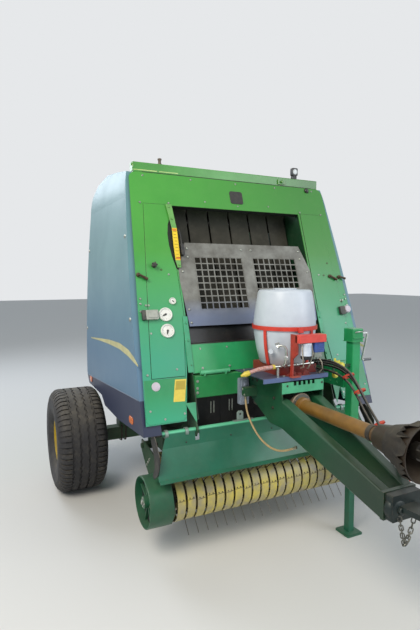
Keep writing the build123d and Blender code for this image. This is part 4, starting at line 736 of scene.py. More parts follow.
# Lower panel: folded sheet in the bright enamel, with painted shade darker towards the machine's left;
# its top folds back into the recess behind the guard plate's foot, painted near black there as shade.
# Two pressed beads stiffen it.
# The first zone paints shade towards the machine's left, the second paints the recess near black as shade.
panel_low = finish("lower_panel_green_enamel", "#2BA565", "#24955A", 260, 0.34, dust=0.06, chips=0.6, grain=5,
                   rise=0.06, coat=0.2, zones=[("#1C6036", (1, 0, 0), -0.22, 0.02),
                                               ("#0B0C0E", (0, 0, 1), 1.508, 1.516)])
dress("lower_panel", panel_low)
bm = bmesh.new()
for x in (-0.52, -0.3, 0.3, 0.52):
    add_bolt(bm, on_front(x, 1.345), 0.007)
    add_bolt(bm, on_front(x, 1.48), 0.006)
add_piece("lower_panel_bolts", bm, screw_zinc, bevel=0.0005)

# Lower cross beam: box section of the frame, with painted shade darker from beside the drawbar towards
# the machine's left, the bolts of the pillars and the console, a tube along its top drawn pale green as
# a painted highlight, and a cast guide block beside the drawbar.
# The zone paints shade, darker from beside the drawbar towards the machine's left.
beam_green = finish("beam_green_enamel", "#1F8F4C", "#1A7C42", 240, 0.38, dust=0.1, chips=0.9, low_dirt=0.35,
                    zones=[("#134428", (1, 0, 0), -0.24, -0.12)])
dress("lower_beam", beam_green)
BEAM_FACE = -0.56
bm = bmesh.new()
for side in SIDES:
    for z in (1.18, 1.212, 1.262):
        add_bolt(bm, to_front(side * 0.581, BEAM_FACE, z), 0.008)
    for x in (0.205, 0.235):
        add_bolt(bm, to_front(side * x, BEAM_FACE, 1.165), 0.01)
add_piece("beam_bolts", bm, screw_zinc, bevel=0.0005)
bm = bmesh.new()
tube_at = facing((-0.558, -0.5575, 1.322), (1, 0, 0))
add_sleeve(bm, 0.01, 0.014, 0, 0.234, tube_at, 24)
for along in (0.03, 0.2):
    add_pad(bm, (0.018, 0.014, 0.004), 0.006, facing((-0.558 + along - 0.003, -0.5575, 1.312), (1, 0, 0)))
# The tube's pale green is a painted highlight.
grease_tube_highlight_paint = finish("grease_tube_painted_highlight", "#5DBC8A", "#4AA878", 60, 0.3, dust=0.08, chips=0.8)
add_piece("grease_tube", bm, grease_tube_highlight_paint, bevel=0.0006)
bm = bmesh.new()
add_pad(bm, (0.04, 0.098, 0.01), 0.034, to_front(-0.218, BEAM_FACE, 1.16))
add_pad(bm, (0.03, 0.034, 0.008), 0.012, to_front(-0.218, BEAM_FACE - 0.034, 1.215))
add_pad(bm, (0.03, 0.026, 0.008), 0.016, to_front(-0.218, BEAM_FACE - 0.034, 1.115))
for z in (1.215, 1.115):
    add_bolt(bm, to_front(-0.218, BEAM_FACE - 0.046, z), 0.011)
block_grey = finish("cast_block_grey", "#98A3B4", "#7C8694", 40, 0.55, metallic=0.2, dust=0.2,
                    grain=2, rise=0.5)
add_piece("guide_block", bm, block_grey, bevel=0.003)

# Intake curtain: black rubber sheet in flaps behind the lower beam, which keeps crop off the front
# rollers. A steel strip with bolts clamps it to the beam's back.
FLAPS = 5
FLAP_PITCH = 0.232
FLAP_WIDTH = 0.229
FLAP_STEPS = 12
CURTAIN_BACK = -0.4595
curtain_rubber = finish("black_curtain_rubber", "#0E0F10", "#15161A", 90, 0.7, grain=4, rise=0.5, dust=0.08)
bm = bmesh.new()
for flap in range(FLAPS):
    rows = []
    for step in range(FLAP_STEPS + 1):
        x = -0.58 + FLAP_PITCH * flap + FLAP_WIDTH * step / FLAP_STEPS
        bulge = 0.003 * math.sin(math.tau * (x + 0.4 * flap) / 0.17)
        rows.append([bm.verts.new((x, CURTAIN_BACK + y + bulge * hang, z)) for y, z, hang in
                     ((0.0005, 1.19, 0), (0.0005, 1.1, 1), (0.0005, 0.852, 2), (0.006, 0.852, 2),
                      (0.006, 1.1, 1), (0.006, 1.19, 0))])
    bridge(bm, rows)
    bm.faces.new(rows[0][::-1])
    bm.faces.new(rows[-1])
add_piece("intake_curtain", bm, curtain_rubber)
bm = bmesh.new()
add_pad(bm, (0.58, 0.016, 0.004), 0.004, to_back(0, CURTAIN_BACK + 0.006, 1.168))
for place in range(9):
    add_bolt(bm, to_back(-0.52 + 0.13 * place, CURTAIN_BACK + 0.01, 1.168), 0.008)
for x in (-0.43, -0.405, -0.275, -0.25):
    add_pad(bm, (0.004, 0.045, 0.003), 0.002, to_front(x, CURTAIN_BACK - 0.004, 1.035))
add_piece("curtain_clamp", bm, screw_zinc, bevel=0.0006)

# Rollers: turned steel tubes on through shafts, polished by the belts that run over them. Each end
# turns in a flanged bearing that four bolts hold to the outside of the chamber wall.
roller_steel = finish("polished_roller_steel", "#77756F", "#5C5852", 70, 0.35, metallic=0.9, dust=0.2)
dress("front_rollers", roller_steel)
dress("tailgate_rollers", roller_steel)
WALL_ROLLERS = ((0.165, 2.56), (0.33, 2.48))
GATE_ROLLERS = ((1.01, 0.74), (1.69, 0.745), (2.01, 1.25), (2.04, 1.64), (1.89, 2.04), (1.5, 2.44),
                (1.0, 2.54))
WALL_FACE = 0.648
BEARING = [(0.012, 0), (0.04, 0), (0.04, 0.01), (0.03, 0.016), (0.024, 0.016), (0.022, 0.011), (0.012, 0.011)]
bearing_cast = finish("bearing_flange_iron", "#4A4E4A", "#3A3C38", 30, 0.55, metallic=0.4, dust=0.3)
for name, body, places, wall in (("wall_bearings", "chassis", WALL_ROLLERS, WALL_FACE),
                                 ("tailgate_bearings", "tailgate", GATE_ROLLERS, 0.621)):
    bm = bmesh.new()
    for side in SIDES:
        for y, z in places:
            at = to_side(side, wall, y, z)
            add_turned(bm, BEARING, at, 28, closed=True)
            add_turned(bm, [(0, 0), (0.011, 0), (0.011, 0.02), (0.009, 0.022), (0, 0.022)], at, 20)
            add_bolt_ring(bm, at, 0.032, (45, 135, 225, 315), 0.006, 0.009)
    add_piece(name, bm, bearing_cast, body, bevel=0.0006)

# Belts: endless woven rubber belts with a fine raised diamond face, dusty with chaff. Each is
# joined by a laced steel seam across its width.
belt_rubber = finish("woven_belt_rubber", "#34332A", "#28271F", 160, 0.8, grain=7, rise=0.8, dust=0.1)
dress("front_belts", belt_rubber)
dress("tailgate_belts", belt_rubber)
BELT_PITCH = 0.195
LACE_TEETH = 16
LACED_BELTS = (
    # name, body, a point of the run as y and z, rise of y along z, side that shows, seams' heights
    ("front_belt_lacing", "chassis", (-0.3389, 1.2125), 0.3225, -1, (1.56, 1.49, 1.6, 1.53, 1.48, 1.58)),
    ("tailgate_belt_lacing", "tailgate", (2.0758, 1.2449), 0.0769, 1, (1.56, 1.48, 1.62, 1.52, 1.59, 1.45)),
)
lace_steel = finish("belt_lacing_steel", "#8B8B86", "#6B6A64", 15, 0.4, metallic=0.9)
for name, body, (start_y, start_z), slope, shown, seams in LACED_BELTS:
    bm = bmesh.new()
    for row, z in enumerate(seams):
        middle = (row - 2.5) * BELT_PITCH
        for tooth in range(LACE_TEETH):
            x = middle + (tooth - (LACE_TEETH - 1) / 2) * 0.0108
            at = facing((x, start_y + (z - start_z) * slope, z), (0, shown, -shown * slope), (0, slope, 1))
            add_plate(bm, rounded_outline(0.0038, 0.012, 0.002, steps=1), 0.0022, at)
    add_piece(name, bm, lace_steel, body)

# Chamber walls: welded steel plate with box ribs, primed and painted the darker frame green, with
# bent arms at the top that carry the shields' hinge pins.
wall_green = finish("chamber_wall_green_enamel", "#0F3A20", "#0C2D19", 300, 0.5, dust=0.1, chips=0.7,
                    low_dirt=0.4, grain=4, rise=0.1)
dress("chamber_walls", wall_green)
dress("shield_arms", wall_green)
bm = bmesh.new()
for side in SIDES:
    for y in (0.32, 0.56):
        for z in (2.7635, 2.7765):
            add_bolt(bm, to_front(side * 0.64, y - 0.0198, z), 0.005)
    for y, z in ((-0.29, 1.64), (0.1, 1.64), (0.48, 1.64), (-0.08, 2.3), (0.2, 2.3), (0.48, 2.3),
                 (-0.4, 1.06), (0.2, 1.06), (0.6, 0.8), (0.6, 1.9), (0.6, 2.2)):
        add_bolt(bm, to_side(side, WALL_FACE, y, z), 0.01)
add_piece("wall_bolts", bm, screw_zinc, bevel=0.0005)

# Chain drive: two roller chains on flame-cut sprockets along the left wall, oiled and full of
# chaff. Every other link is an outer one, and a pin with a roller joins each pair.
CHAIN_RUNS = (
    # middle x, first shaft, first radius, second shaft, second radius
    (0.66, (-0.43, 1.225), 0.052, (-0.238, 1.18), 0.086),
    (0.684, (-0.238, 1.18), 0.052, (0.02, 1.15), 0.07),
)
CHAIN_PITCH = 0.0254


def chain_line(first, first_radius, second, second_radius, steps=400):
    """Places at even steps of the chain's pitch on the taut line round two sprockets."""
    first, second = Vector(first), Vector(second)
    across = second - first
    base = math.atan2(across.y, across.x)
    open_angle = math.acos((first_radius - second_radius) / across.length)
    path = []
    for k in range(steps):
        turn = base + open_angle + (math.tau - 2 * open_angle) * k / (steps - 1)
        path.append(first + Vector((math.cos(turn), math.sin(turn))) * first_radius)
    for k in range(steps):
        turn = base - open_angle + 2 * open_angle * k / (steps - 1)
        path.append(second + Vector((math.cos(turn), math.sin(turn))) * second_radius)
    path.append(path[0])
    total = sum((b - a).length for a, b in zip(path, path[1:]))
    count = 2 * round(total / CHAIN_PITCH / 2)
    places = []
    walked = 0.0
    for a, b in zip(path, path[1:]):
        run = (b - a).length
        while len(places) < count and len(places) * total / count <= walked + run:
            places.append(a.lerp(b, (len(places) * total / count - walked) / run))
        walked += run
    return places


sprockets = bmesh.new()
links = bmesh.new()
for middle_x, first, first_radius, second, second_radius in CHAIN_RUNS:
    for (y, z), radius in ((first, first_radius), (second, second_radius)):
        teeth = round(math.tau * radius / CHAIN_PITCH)
        outline = []
        for tooth in range(teeth):
            for share, reach in ((0.0, -0.0065), (0.3, -0.002), (0.42, 0.006), (0.58, 0.006), (0.7, -0.002)):
                turn = math.tau * (tooth + share) / teeth
                outline.append(((radius + reach) * math.cos(turn), (radius + reach) * math.sin(turn)))
        at = facing((middle_x - 0.003, y, z), (1, 0, 0))
        add_plate(sprockets, outline, 0.006, at)
        add_turned(sprockets, [(0, -0.006), (0.024, -0.006), (0.024, 0.012), (0.013, 0.014), (0, 0.014)],
                   at, 24)
    places = chain_line(first, first_radius, second, second_radius)
    for k, (place, after) in enumerate(zip(places, places[1:] + places[:1])):
        along = after - place
        at = facing((middle_x, (place.x + after.x) / 2, (place.y + after.y) / 2), (1, 0, 0),
                    (0, -along.y, along.x))
        reach = 0.0062 if k % 2 else 0.0044
        for side in SIDES:
            offset = side * reach - (0.0014 if side < 0 else 0)
            add_plate(links, rounded_outline(along.length / 2 + 0.0052, 0.0058, 0.005, steps=2), 0.0014,
                      at @ Matrix.Translation((0, 0, offset)))
        add_turned(links, [(0, -0.0076), (0.003, -0.0076), (0.003, 0.0076), (0, 0.0076)],
                   facing((middle_x, place.x, place.y), (1, 0, 0)), 8)
        add_sleeve(links, 0.003, 0.0048, -0.004, 0.004, facing((middle_x, place.x, place.y), (1, 0, 0)), 10)
for (y, z), reach in (((-0.43, 1.225), 0.076), ((-0.238, 1.18), 0.084), ((0.02, 1.15), 0.084)):
    add_rod(sprockets, (0.608, y, z), (0.608 + reach, y, z), 0.014)
oiled_iron = finish("oiled_sprocket_iron", "#4B4742", "#38342F", 25, 0.45, metallic=0.7, dust=0.35)
sprocket_set = add_piece("chain_sprockets", sprockets, oiled_iron, bevel=0.0006)
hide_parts("drive_chains")
chain_steel = finish("oiled_chain_steel", "#2E2B28", "#453F37", 8, 0.4, metallic=0.8, dust=0.2)
add_piece("roller_chains", links, chain_steel)

# Running gear: a welded box axle with turned spindles, under two rail frames of box section, all
# in a darker brushed-on green that keeps the mud. U-bolts clamp the axle to its hangers.
frame_paint = finish("chassis_green_enamel", "#175234", "#12402A", 240, 0.5, dust=0.15, chips=0.8,
                     low_dirt=0.55, grain=4, rise=0.1)
dress("axle", frame_paint)
dress("side_frames", frame_paint)


def add_bar(bm, points, radius, sides=8):
    """Adds a bent round bar through the points, closed at its ends."""
    points = [Vector(point) for point in points]
    side = None
    rings = []
    for i, point in enumerate(points):
        ahead = (points[min(i + 1, len(points) - 1)] - points[max(i - 1, 0)]).normalized()
        side = ahead.orthogonal() if side is None else side - ahead * side.dot(ahead)
        side.normalize()
        other = ahead.cross(side)
        rings.append([bm.verts.new(point + (side * math.cos(turn) + other * math.sin(turn)) * radius)
                      for turn in (math.tau * k / sides for k in range(sides))])
    bridge(bm, rings)
    bm.faces.new(rings[0][::-1])
    bm.faces.new(rings[-1])


bm = bmesh.new()
for side in SIDES:
    for x in (0.7, 0.74):
        loop = [(side * x, 0.893, 0.56), (side * x, 0.893, 0.42)]
        loop += [(side * x, 0.96 - 0.067 * math.cos(math.radians(a)), 0.42 - 0.03 * math.sin(math.radians(a)))
                 for a in range(15, 180, 15)]
        loop += [(side * x, 1.027, 0.42), (side * x, 1.027, 0.56)]
        add_bar(bm, loop, 0.007)
    for y, z in ((-0.2, 0.76), (0.5, 0.76)):
        for dz in (-0.04, 0.04):
            add_bolt(bm, to_side(side, 0.76, y, z + dz), 0.012)
add_piece("axle_u_bolts", bm, oiled_iron)

# Tyres: ribbed implement tyres on a bias carcass, with four zigzag grooves and shoulder lugs that
# wrap on to the wall. Two rings stand on each wall, which carries no letters.
WHEEL_CENTRE = (1.17, 0.96, 0.4725)
CARCASS = (
    # radius, half width
    (0.206, 0.16), (0.223, 0.167), (0.24, 0.186), (0.262, 0.2015), (0.285, 0.2095), (0.29, 0.213),
    (0.3, 0.2145), (0.306, 0.215), (0.312, 0.214), (0.345, 0.2185), (0.375, 0.2165), (0.381, 0.218),
    (0.389, 0.216), (0.412, 0.206), (0.436, 0.19), (0.452, 0.17), (0.459, 0.145), (0.4605, 0.1),
)
TREAD_RIBS = ((-0.028, 0.028), (0.044, 0.092), (-0.092, -0.044))
TREAD_R = 0.4722
TREAD_STEPS = 180
SHOULDER_LUGS = 60
LUG_SHAPE = ((0.45, 0.108), (0.4722, 0.11), (0.4715, 0.145), (0.466, 0.168), (0.444, 0.1935), (0.416, 0.2085),
             (0.408, 0.202), (0.44, 0.16))
tyre_rubber = finish("tyre_rubber", "#1F2126", "#2A2B30", 90, 0.72, grain=2, rise=0.35, dust=0.22,
                     low_dirt=0.2)
for side_name, side in NAMED_SIDES:
    at = to_side(side, *WHEEL_CENTRE)
    bm = bmesh.new()
    shell = list(CARCASS) + [(r, -h) for r, h in reversed(CARCASS)]
    inside = [(0.206, -0.135), (0.325, -0.185), (0.425, -0.155), (0.425, 0.155), (0.325, 0.185),
              (0.206, 0.135)]
    add_turned(bm, shell + inside, at, 120, closed=True)
    for low, high in TREAD_RIBS:
        rings = []
        for step in range(TREAD_STEPS):
            turn = math.tau * step / TREAD_STEPS
            sway = 0.0052 * (1, 0, -1, 0)[step % 4]
            rings.append([bm.verts.new(at @ around(radius, turn, h))
                          for radius, h in ((0.456, low + sway - 0.002), (TREAD_R, low + sway),
                                            (TREAD_R, high + sway), (0.456, high + sway + 0.002))])
        bridge(bm, rings, closed=True)
    for lug in range(SHOULDER_LUGS):
        for face in SIDES:
            start = math.tau * (lug + (0.5 if face > 0 else 0.0)) / SHOULDER_LUGS
            ends = []
            for share in (0.0, 0.35, 0.7):
                turn = start + math.tau * share / SHOULDER_LUGS
                ends.append([bm.verts.new(at @ around(r, turn, face * h))
                             for r, h in LUG_SHAPE])
            bridge(bm, ends)
            bm.faces.new(ends[0])
            bm.faces.new(ends[-1][::-1])
    tyre = add_piece("implement_tyre_" + side_name, bm, tyre_rubber,
                     "wheel_" + side_name, angle=32)
    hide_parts("tyre_" + side_name)

# Wheels: dished yellow steel rims on cast hubs, each held by eight nuts on studs, with a valve
# through the well and a pressed dust cap over the bearing.
rim_paint = finish("yellow_rim_enamel", "#D9B91E", "#B39A2B", 120, 0.45, dust=0.4, chips=0.9, low_dirt=0.5)
for side_name, side in NAMED_SIDES:
    dress("rim_" + side_name, rim_paint)
    at = to_side(side, *WHEEL_CENTRE)
    bm = bmesh.new()
    for stud in range(8):
        turn = math.tau * stud / 8
        spot = at @ Matrix.Translation(around(0.1085, turn, -0.02))
        add_disc(bm, 0.013, 0.004, spot, 16)
        add_turned(bm, [(0, 0.002), (0.0115, 0.002), (0.0115, 0.014), (0.009, 0.017), (0, 0.017)], spot, 6)
        add_turned(bm, [(0, 0.01), (0.0062, 0.01), (0.0062, 0.026), (0, 0.028)], spot, 12)
    add_turned(bm, [(0.018, 0.066), (0.05, 0.066), (0.052, 0.07), (0.047, 0.088), (0.02, 0.094), (0, 0.094)],
               at, 36)
    add_bar(bm, [at @ Vector((0, y, z)) for y, z in ((0.168, -0.06), (0.158, -0.02), (0.15, 0.02))], 0.0045)
    add_piece("wheel_nuts_" + side_name, bm, screw_zinc, "wheel_" + side_name, bevel=0.0006)

# Side shields: large pressed covers of faded, dusty enamel, drawn pale bluish grey as a painted sky
# reflection and bluer low down, with painted shade in dark navy below a pressed line and on its bead.
# A plain tapered stripe and two amber reflectors are stuck on each.
# Painted light: the base colour carries a painted sky reflection, the first zone paints it bluer low down,
# and the second paints shade in dark navy below the pressed line.
shield_enamel_painted_sky = finish("faded_shield_enamel_painted_sky", "#628C93", "#5A8289", 500, 0.42, dust=0.04, chips=0.25, grain=5,
                      rise=0.05, coat=0.05, zones=[("#567691", (0, 0, -1), -2.2, -1.35),
                                                   ("#222B46", (0, -0.077, -1), -1.128, -1.12)])
stripe_vinyl = finish("straw_stripe_vinyl", "#C4C08C", "#AEAA7C", 90, 0.4, dust=0.06)
amber_lens = finish("amber_reflector_lens", "#D9722E", "#C4611F", 20, 0.25, dust=0.15, coat=0.4)
# The bead's dark slate is painted shade along the pressed line.
bead_painted_shade = finish("shield_bead_painted_shade", "#4A5A72", "#3C4A60", 90, 0.4, dust=0.2)
SHIELD_BOW = (1.0, -0.033333, -0.030864)


def on_shield(side, y, z, proud=0.0):
    """Frame on a shield's bowed face at y and z; its first axis runs along y."""
    rise = z - 1.7
    x = SHIELD_BOW[0] + SHIELD_BOW[1] * rise + SHIELD_BOW[2] * rise * rise
    slope = SHIELD_BOW[1] + 2 * SHIELD_BOW[2] * rise
    return facing((side * x, y, z), (side, 0, -slope)) @ Matrix.Translation((0, 0, proud))


STRIPE = ((0.95, 1.425, 0.004), (0.6, 1.45, 0.01), (0.25, 1.47, 0.018), (-0.06, 1.477, 0.023),
          (-0.3, 1.458, 0.024), (-0.43, 1.43, 0.018), (-0.53, 1.404, 0.006))
for side_name, side in NAMED_SIDES:
    body = "side_shield_" + side_name
    dress(body, shield_enamel_painted_sky)
    bm = bmesh.new()
    rows = []
    for i in range(len(STRIPE) - 1):
        for part in range(6):
            share = part / 6
            rows.append([a + (b - a) * share for a, b in zip(STRIPE[i], STRIPE[i + 1])])
    rows.append(list(STRIPE[-1]))
    grid = []
    for y, z, half in rows:
        grid.append([bm.verts.new(on_shield(side, y, z + half * edge, lift).translation)
                     for edge, lift in ((-1, 0.0003), (-1, 0.0014), (1, 0.0014), (1, 0.0003))])
    bridge(bm, grid)
    bm.faces.new(grid[0])
    bm.faces.new(grid[-1][::-1])
    add_piece("shield_stripe_" + side_name, bm, stripe_vinyl, body)
    bm = bmesh.new()
    for y, z in ((-0.36, 0.985), (0.98, 1.02)):
        add_pad(bm, (0.046, 0.026, 0.022), 0.006, on_shield(side, y, z))
    add_piece("shield_reflectors_" + side_name, bm, amber_lens, body, bevel=0.002)
    bm = bmesh.new()
    bead = []
    for step in range(25):
        y = -0.545 + 1.69 * step / 24
        bead.append(on_shield(side, y, 1.124 - 0.077 * y, 0.0005).translation)
    add_bar(bm, bead, 0.0035, 8)
    add_piece("shield_beads_" + side_name, bm, bead_painted_shade, body)
    bm = bmesh.new()
    for y, z in ((1.12, 1.5), (1.12, 2.25), (-0.33, 1.7), (-0.12, 2.3)):
        at = on_shield(side, y, z)
        add_turned(bm, [(0, 0), (0.016, 0), (0.014, 0.004), (0.007, 0.006), (0.007, 0.003), (0, 0.003)],
                   at, 20)
    add_piece("shield_fasteners_" + side_name, bm, screw_zinc, body)

# Tailgate: side plates with welded rims in the bright enamel, cross members behind the belts, hinge
# caps over its pins, a blank plate and a pair of latch hooks low on its sides.
gate_green = finish("tailgate_green_enamel", "#3A9A4B", "#2F8A41", 380, 0.36, dust=0.2, chips=0.6,
                    low_dirt=0.35, grain=5, rise=0.06, coat=0.15)
dress("tailgate_sides", gate_green)
dress("tailgate_frame", gate_green)
bm = bmesh.new()
for side in SIDES:
    at = to_side(side, 0.641, 0.76, 2.62)
    add_turned(bm, [(0, 0), (0.052, 0), (0.052, 0.006), (0.03, 0.012), (0.02, 0.012), (0, 0.01)], at, 32)
    add_bolt_ring(bm, at, 0.041, (30, 150, 270), 0.006, 0.006)
    hook = [(0, -0.02), (0.11, -0.02), (0.125, 0.0), (0.125, 0.045), (0.1, 0.05), (0.098, 0.018), (0, 0.02)]
    add_plate(bm, [(side * -y, z) for y, z in hook], 0.012, to_side(side, 0.622, 0.99, 0.86))
add_piece("tailgate_hinge_caps", bm, gate_green, "tailgate", bevel=0.001)
bm = bmesh.new()
for side in SIDES:
    for y, z in ((1.05, 1.5), (1.95, 1.5), (1.3, 1.5), (1.65, 1.5)):
        add_bolt(bm, to_side(side, 0.661, y, z), 0.01)
for x in (-0.5, -0.25, 0.25, 0.5):
    for z in (1.612, 1.668):
        add_bolt(bm, to_back(x, 2.19, z), 0.01)
add_piece("tailgate_bolts", bm, screw_zinc, "tailgate", bevel=0.0005)
bm = bmesh.new()
add_pad(bm, (0.13, 0.038, 0.006), 0.003, to_back(0, 2.19, 1.64))
add_piece("tailgate_sign_plate", bm, plate_yellow, "tailgate", bevel=0.0006)

# Rear lamps: black moulded housings with a red tail lens, an amber turn lens and a clear strip,
# each held by two bolts.
REAR_LAMP = (0.48, 0.66)
housing = bmesh.new()
for side in SIDES:
    at = to_back(side * REAR_LAMP[0], 1.88, REAR_LAMP[1])
    add_pad(housing, (0.095, 0.042, 0.012), 0.024, at)
    for x in (-0.062, 0.062):
        add_disc(housing, 0.006, -0.012, at @ Matrix.Translation((x, 0, 0)), 12)
lamp_black = finish("lamp_black_plastic", "#1C1D1F", "#26282A", 30, 0.5, dust=0.3)
rear_housing = add_piece("rear_lamp_housings", housing, lamp_black, "tailgate", bevel=0.002)
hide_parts("tail_lamps")
LENSES = (("red", "#A81E1A", 0.04, 0.043), ("amber", "#D9771E", -0.034, 0.026),
          ("clear", "#D8DAD8", -0.074, 0.01))
for lens_name, colour, middle, half in LENSES:
    bm = bmesh.new()
    for side in SIDES:
        at = to_back(side * REAR_LAMP[0], 1.904, REAR_LAMP[1]) @ Matrix.Translation((side * -middle, 0, 0))
        add_pad(bm, (half, 0.034, 0.007), 0.008, at)
        for rib in range(5):
            add_pad(bm, (half * 0.86, 0.0022, 0.002, (0, -0.024 + 0.012 * rib), 1), 0.0095, at)
    lens = finish(lens_name + "_lamp_lens", colour, colour, 30, 0.15, dust=0.15, coat=0.6)
    add_piece("rear_lenses_" + lens_name, bm, lens, "tailgate", bevel=0.0008)

# Gate cylinders: drawn steel barrels in frame green with a turned gland and a pipe union, and hard
# chromed rods. A plain pin joins each barrel to the chamber wall.
barrel_green = finish("cylinder_barrel_enamel", "#1E6A3E", "#195632", 120, 0.42, dust=0.25, chips=0.8,
                      low_dirt=0.3)
rod_chrome = finish("hard_chrome_rod", "#C9CCCE", "#B9BCBE", 40, 0.12, metallic=1.0, dust=0.05)
cylinder_run = Vector((0, 0.9, 0.95)).normalized()
out = Vector((0, -cylinder_run.z, cylinder_run.y))
PIPE = ((0.83, 0.066), (0.815, 0.074), (0.78, 0.076), (0.2, 0.076), (0.15, 0.072), (0.125, 0.058))
for side_name, side in NAMED_SIDES:
    dress("gate_barrel_" + side_name, barrel_green)
    dress("gate_rod_" + side_name, rod_chrome)
    base = Vector((side * 0.72, 0.45, 1.15))
    at = facing(base + cylinder_run * 0.9, cylinder_run, (1, 0, 0))
    bm = bmesh.new()
    add_turned(bm, [(0.0224, -0.03), (0.0445, -0.03), (0.0445, 0.004), (0.036, 0.012), (0.0224, 0.012)], at,
               32, closed=True)
    for reach in (0.12, 0.83):
        spot = base + cylinder_run * reach + out * 0.04
        add_rod(bm, spot, spot + out * 0.02, 0.013, 6)
        add_rod(bm, spot + out * 0.018, spot + out * 0.034, 0.008)
    add_bar(bm, [base + cylinder_run * reach + out * lift for reach, lift in PIPE], 0.006, 10)
    add_piece("cylinder_gland_" + side_name, bm, oiled_iron, "gate_barrel_" + side_name, bevel=0.001)
    bm = bmesh.new()
    pin_end = facing(base + Vector((side * 0.0335, 0, 0)), (side, 0, 0))
    add_turned(bm, [(0, 0), (0.025, 0), (0.025, 0.003), (0.016, 0.003), (0.013, 0.006), (0, 0.006)],
               pin_end, 24)
    add_piece("cylinder_pin_" + side_name, bm, screw_zinc)

# Pickup: a frame of flame-cut plates and a box beam in dark green, with spring-steel stripper bands
# in worn yellow between the tines and spoked drums at its ends.
for node in ("pickup_sides", "pickup_beam", "windguard_brackets"):
    dress(node, frame_paint)
drum_paint = finish("drum_green_enamel", "#146445", "#11523A", 160, 0.4, dust=0.08, chips=0.7, low_dirt=0.4)
dress("pickup_drums", drum_paint)
band_paint = finish("worn_yellow_band_enamel", "#D2C25E", "#A29B86", 90, 0.38, dust=0.08, chips=1.0,
                    low_dirt=0.25, chip_colour="#6E6A62")
dress("pickup_bands", band_paint)
PICK = (-0.5, 0.432)
BANDS = 21
BAND_PITCH = 0.075
BAND_FACE = 0.1712
# A near-black ring lies inside each drum's outer end.
drum_ring_black = finish("drum_inner_dark_ring", "#0E1418", "#171B1C", 40, 0.85, dust=0.1, grain=3, rise=0.6)
bm = bmesh.new()
for side in SIDES:
    at = to_side(side, 0.9202, *PICK)
    add_turned(bm, [(0.043, 0), (0.17, 0), (0.17, 0.004), (0.15, 0.0015), (0.06, 0.0015), (0.043, 0.004)], at,
               48, closed=True)
add_piece("drum_dark_rings", bm, drum_ring_black, "pickup")
bm = bmesh.new()
for side in SIDES:
    at = to_side(side, 0.974, *PICK)
    add_bolt(bm, at, 0.015)
    add_bolt_ring(bm, at, 0.03, (0, 90, 180, 270), 0.006)
    for y, z in ((0.0, 0.681), (-0.13, 0.56), (-0.1, 0.53), (-0.16, 0.59)):
        add_bolt(bm, to_side(side, 0.8105, y, z), 0.009)
add_piece("pickup_bolts", bm, screw_zinc, "pickup", bevel=0.0005)
bm = bmesh.new()
for row in range(BANDS):
    x = (row - BANDS // 2) * BAND_PITCH
    add_turned(bm, [(0, 0), (0.009, 0), (0.007, 0.004), (0, 0.0055)], to_top(x, -0.092, 0.606), 12)
    height = 0.03 + 0.006 * math.sin(row * 2.4)
    reach = math.sqrt(BAND_FACE ** 2 - height ** 2)
    out = Vector((0, -reach, height))
    at = facing((x, PICK[0] + out.y, PICK[1] + out.z), out)
    add_plate(bm, rounded_outline(0.027, 0.0016, 0.001, steps=1), 0.0008, at @ Matrix.Rotation(0.08, 4, "Z"))
    for across in (-0.014, 0.014):
        add_turned(bm, [(0, -0.0004), (0.0045, -0.0004), (0.004, 0.0018), (0, 0.0024)],
                   at @ Matrix.Translation((across, 0.008, 0)), 10)
add_piece("band_joints", bm, oiled_iron, "pickup")

# Tined reel: a through shaft with end discs and four bars, which carry double coil tines of spring
# steel wire. Each tine leaves its coil, passes between two bands and bends back at its tip.
REEL_BARS = 4
REEL_BAR_REACH = 0.115
TINES = 20
TINE_WIRE = 0.0028
COIL_STEPS = 21
COIL_TURNS = 2.5
COIL_LENGTH = 0.019
COIL_RADIUS = 0.0165
TINE_LINE = ((-0.01, 0.03), (-0.004, 0.06), (0.0, 0.115), (0.001, 0.15), (0.004, 0.1675))
spring_steel = finish("spring_steel", "#57534C", "#3F3B36", 40, 0.42, metallic=0.75, dust=0.2)
bm = bmesh.new()
add_turned(bm, [(0, -0.808), (0.025, -0.808), (0.025, 0.808), (0, 0.808)], facing((0, *PICK), (1, 0, 0)), 28)
for side in SIDES:
    disc = to_side(side, 0.785, *PICK)
    add_turned(bm, [(0.025, -0.005), (0.13, -0.005), (0.135, -0.003), (0.135, 0.003), (0.13, 0.005),
                    (0.045, 0.005), (0.045, 0.01), (0.025, 0.01)], disc, 48, closed=True)
for bar in range(REEL_BARS):
    turn = math.radians(360 / REEL_BARS * bar + 45)
    out = Vector((0, math.cos(turn), math.sin(turn)))
    back = Vector((0, -out.z, out.y))
    middle = Vector((0, *PICK)) + out * REEL_BAR_REACH
    add_turned(bm, [(0, -0.784), (0.013, -0.784), (0.013, 0.784), (0, 0.784)], facing(middle, (1, 0, 0)), 18)
    for tine in range(TINES):
        x = (tine - (TINES - 1) / 2) * BAND_PITCH
        lean = 1 if tine % 2 == 0 else -1
        wire = []
        for step in range(COIL_STEPS):
            wind = math.tau * COIL_TURNS * step / COIL_STEPS
            shift = lean * (COIL_LENGTH - COIL_LENGTH * step / COIL_STEPS)
            wire.append(middle + Vector((x + shift, 0, 0))
                        + (back * math.cos(wind) + out * math.sin(wind)) * COIL_RADIUS)
        wire += [Vector((x, 0, 0)) + middle + back * behind + out * reach for behind, reach in TINE_LINE]
        add_bar(bm, wire, TINE_WIRE, 6)
        if lean > 0:
            add_bolt(bm, facing(middle + Vector((x + BAND_PITCH / 2, 0, 0)) + back * 0.012, back, out), 0.007)
reel = add_piece("tined_reel", bm, spring_steel, "reel")
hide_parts("reel")

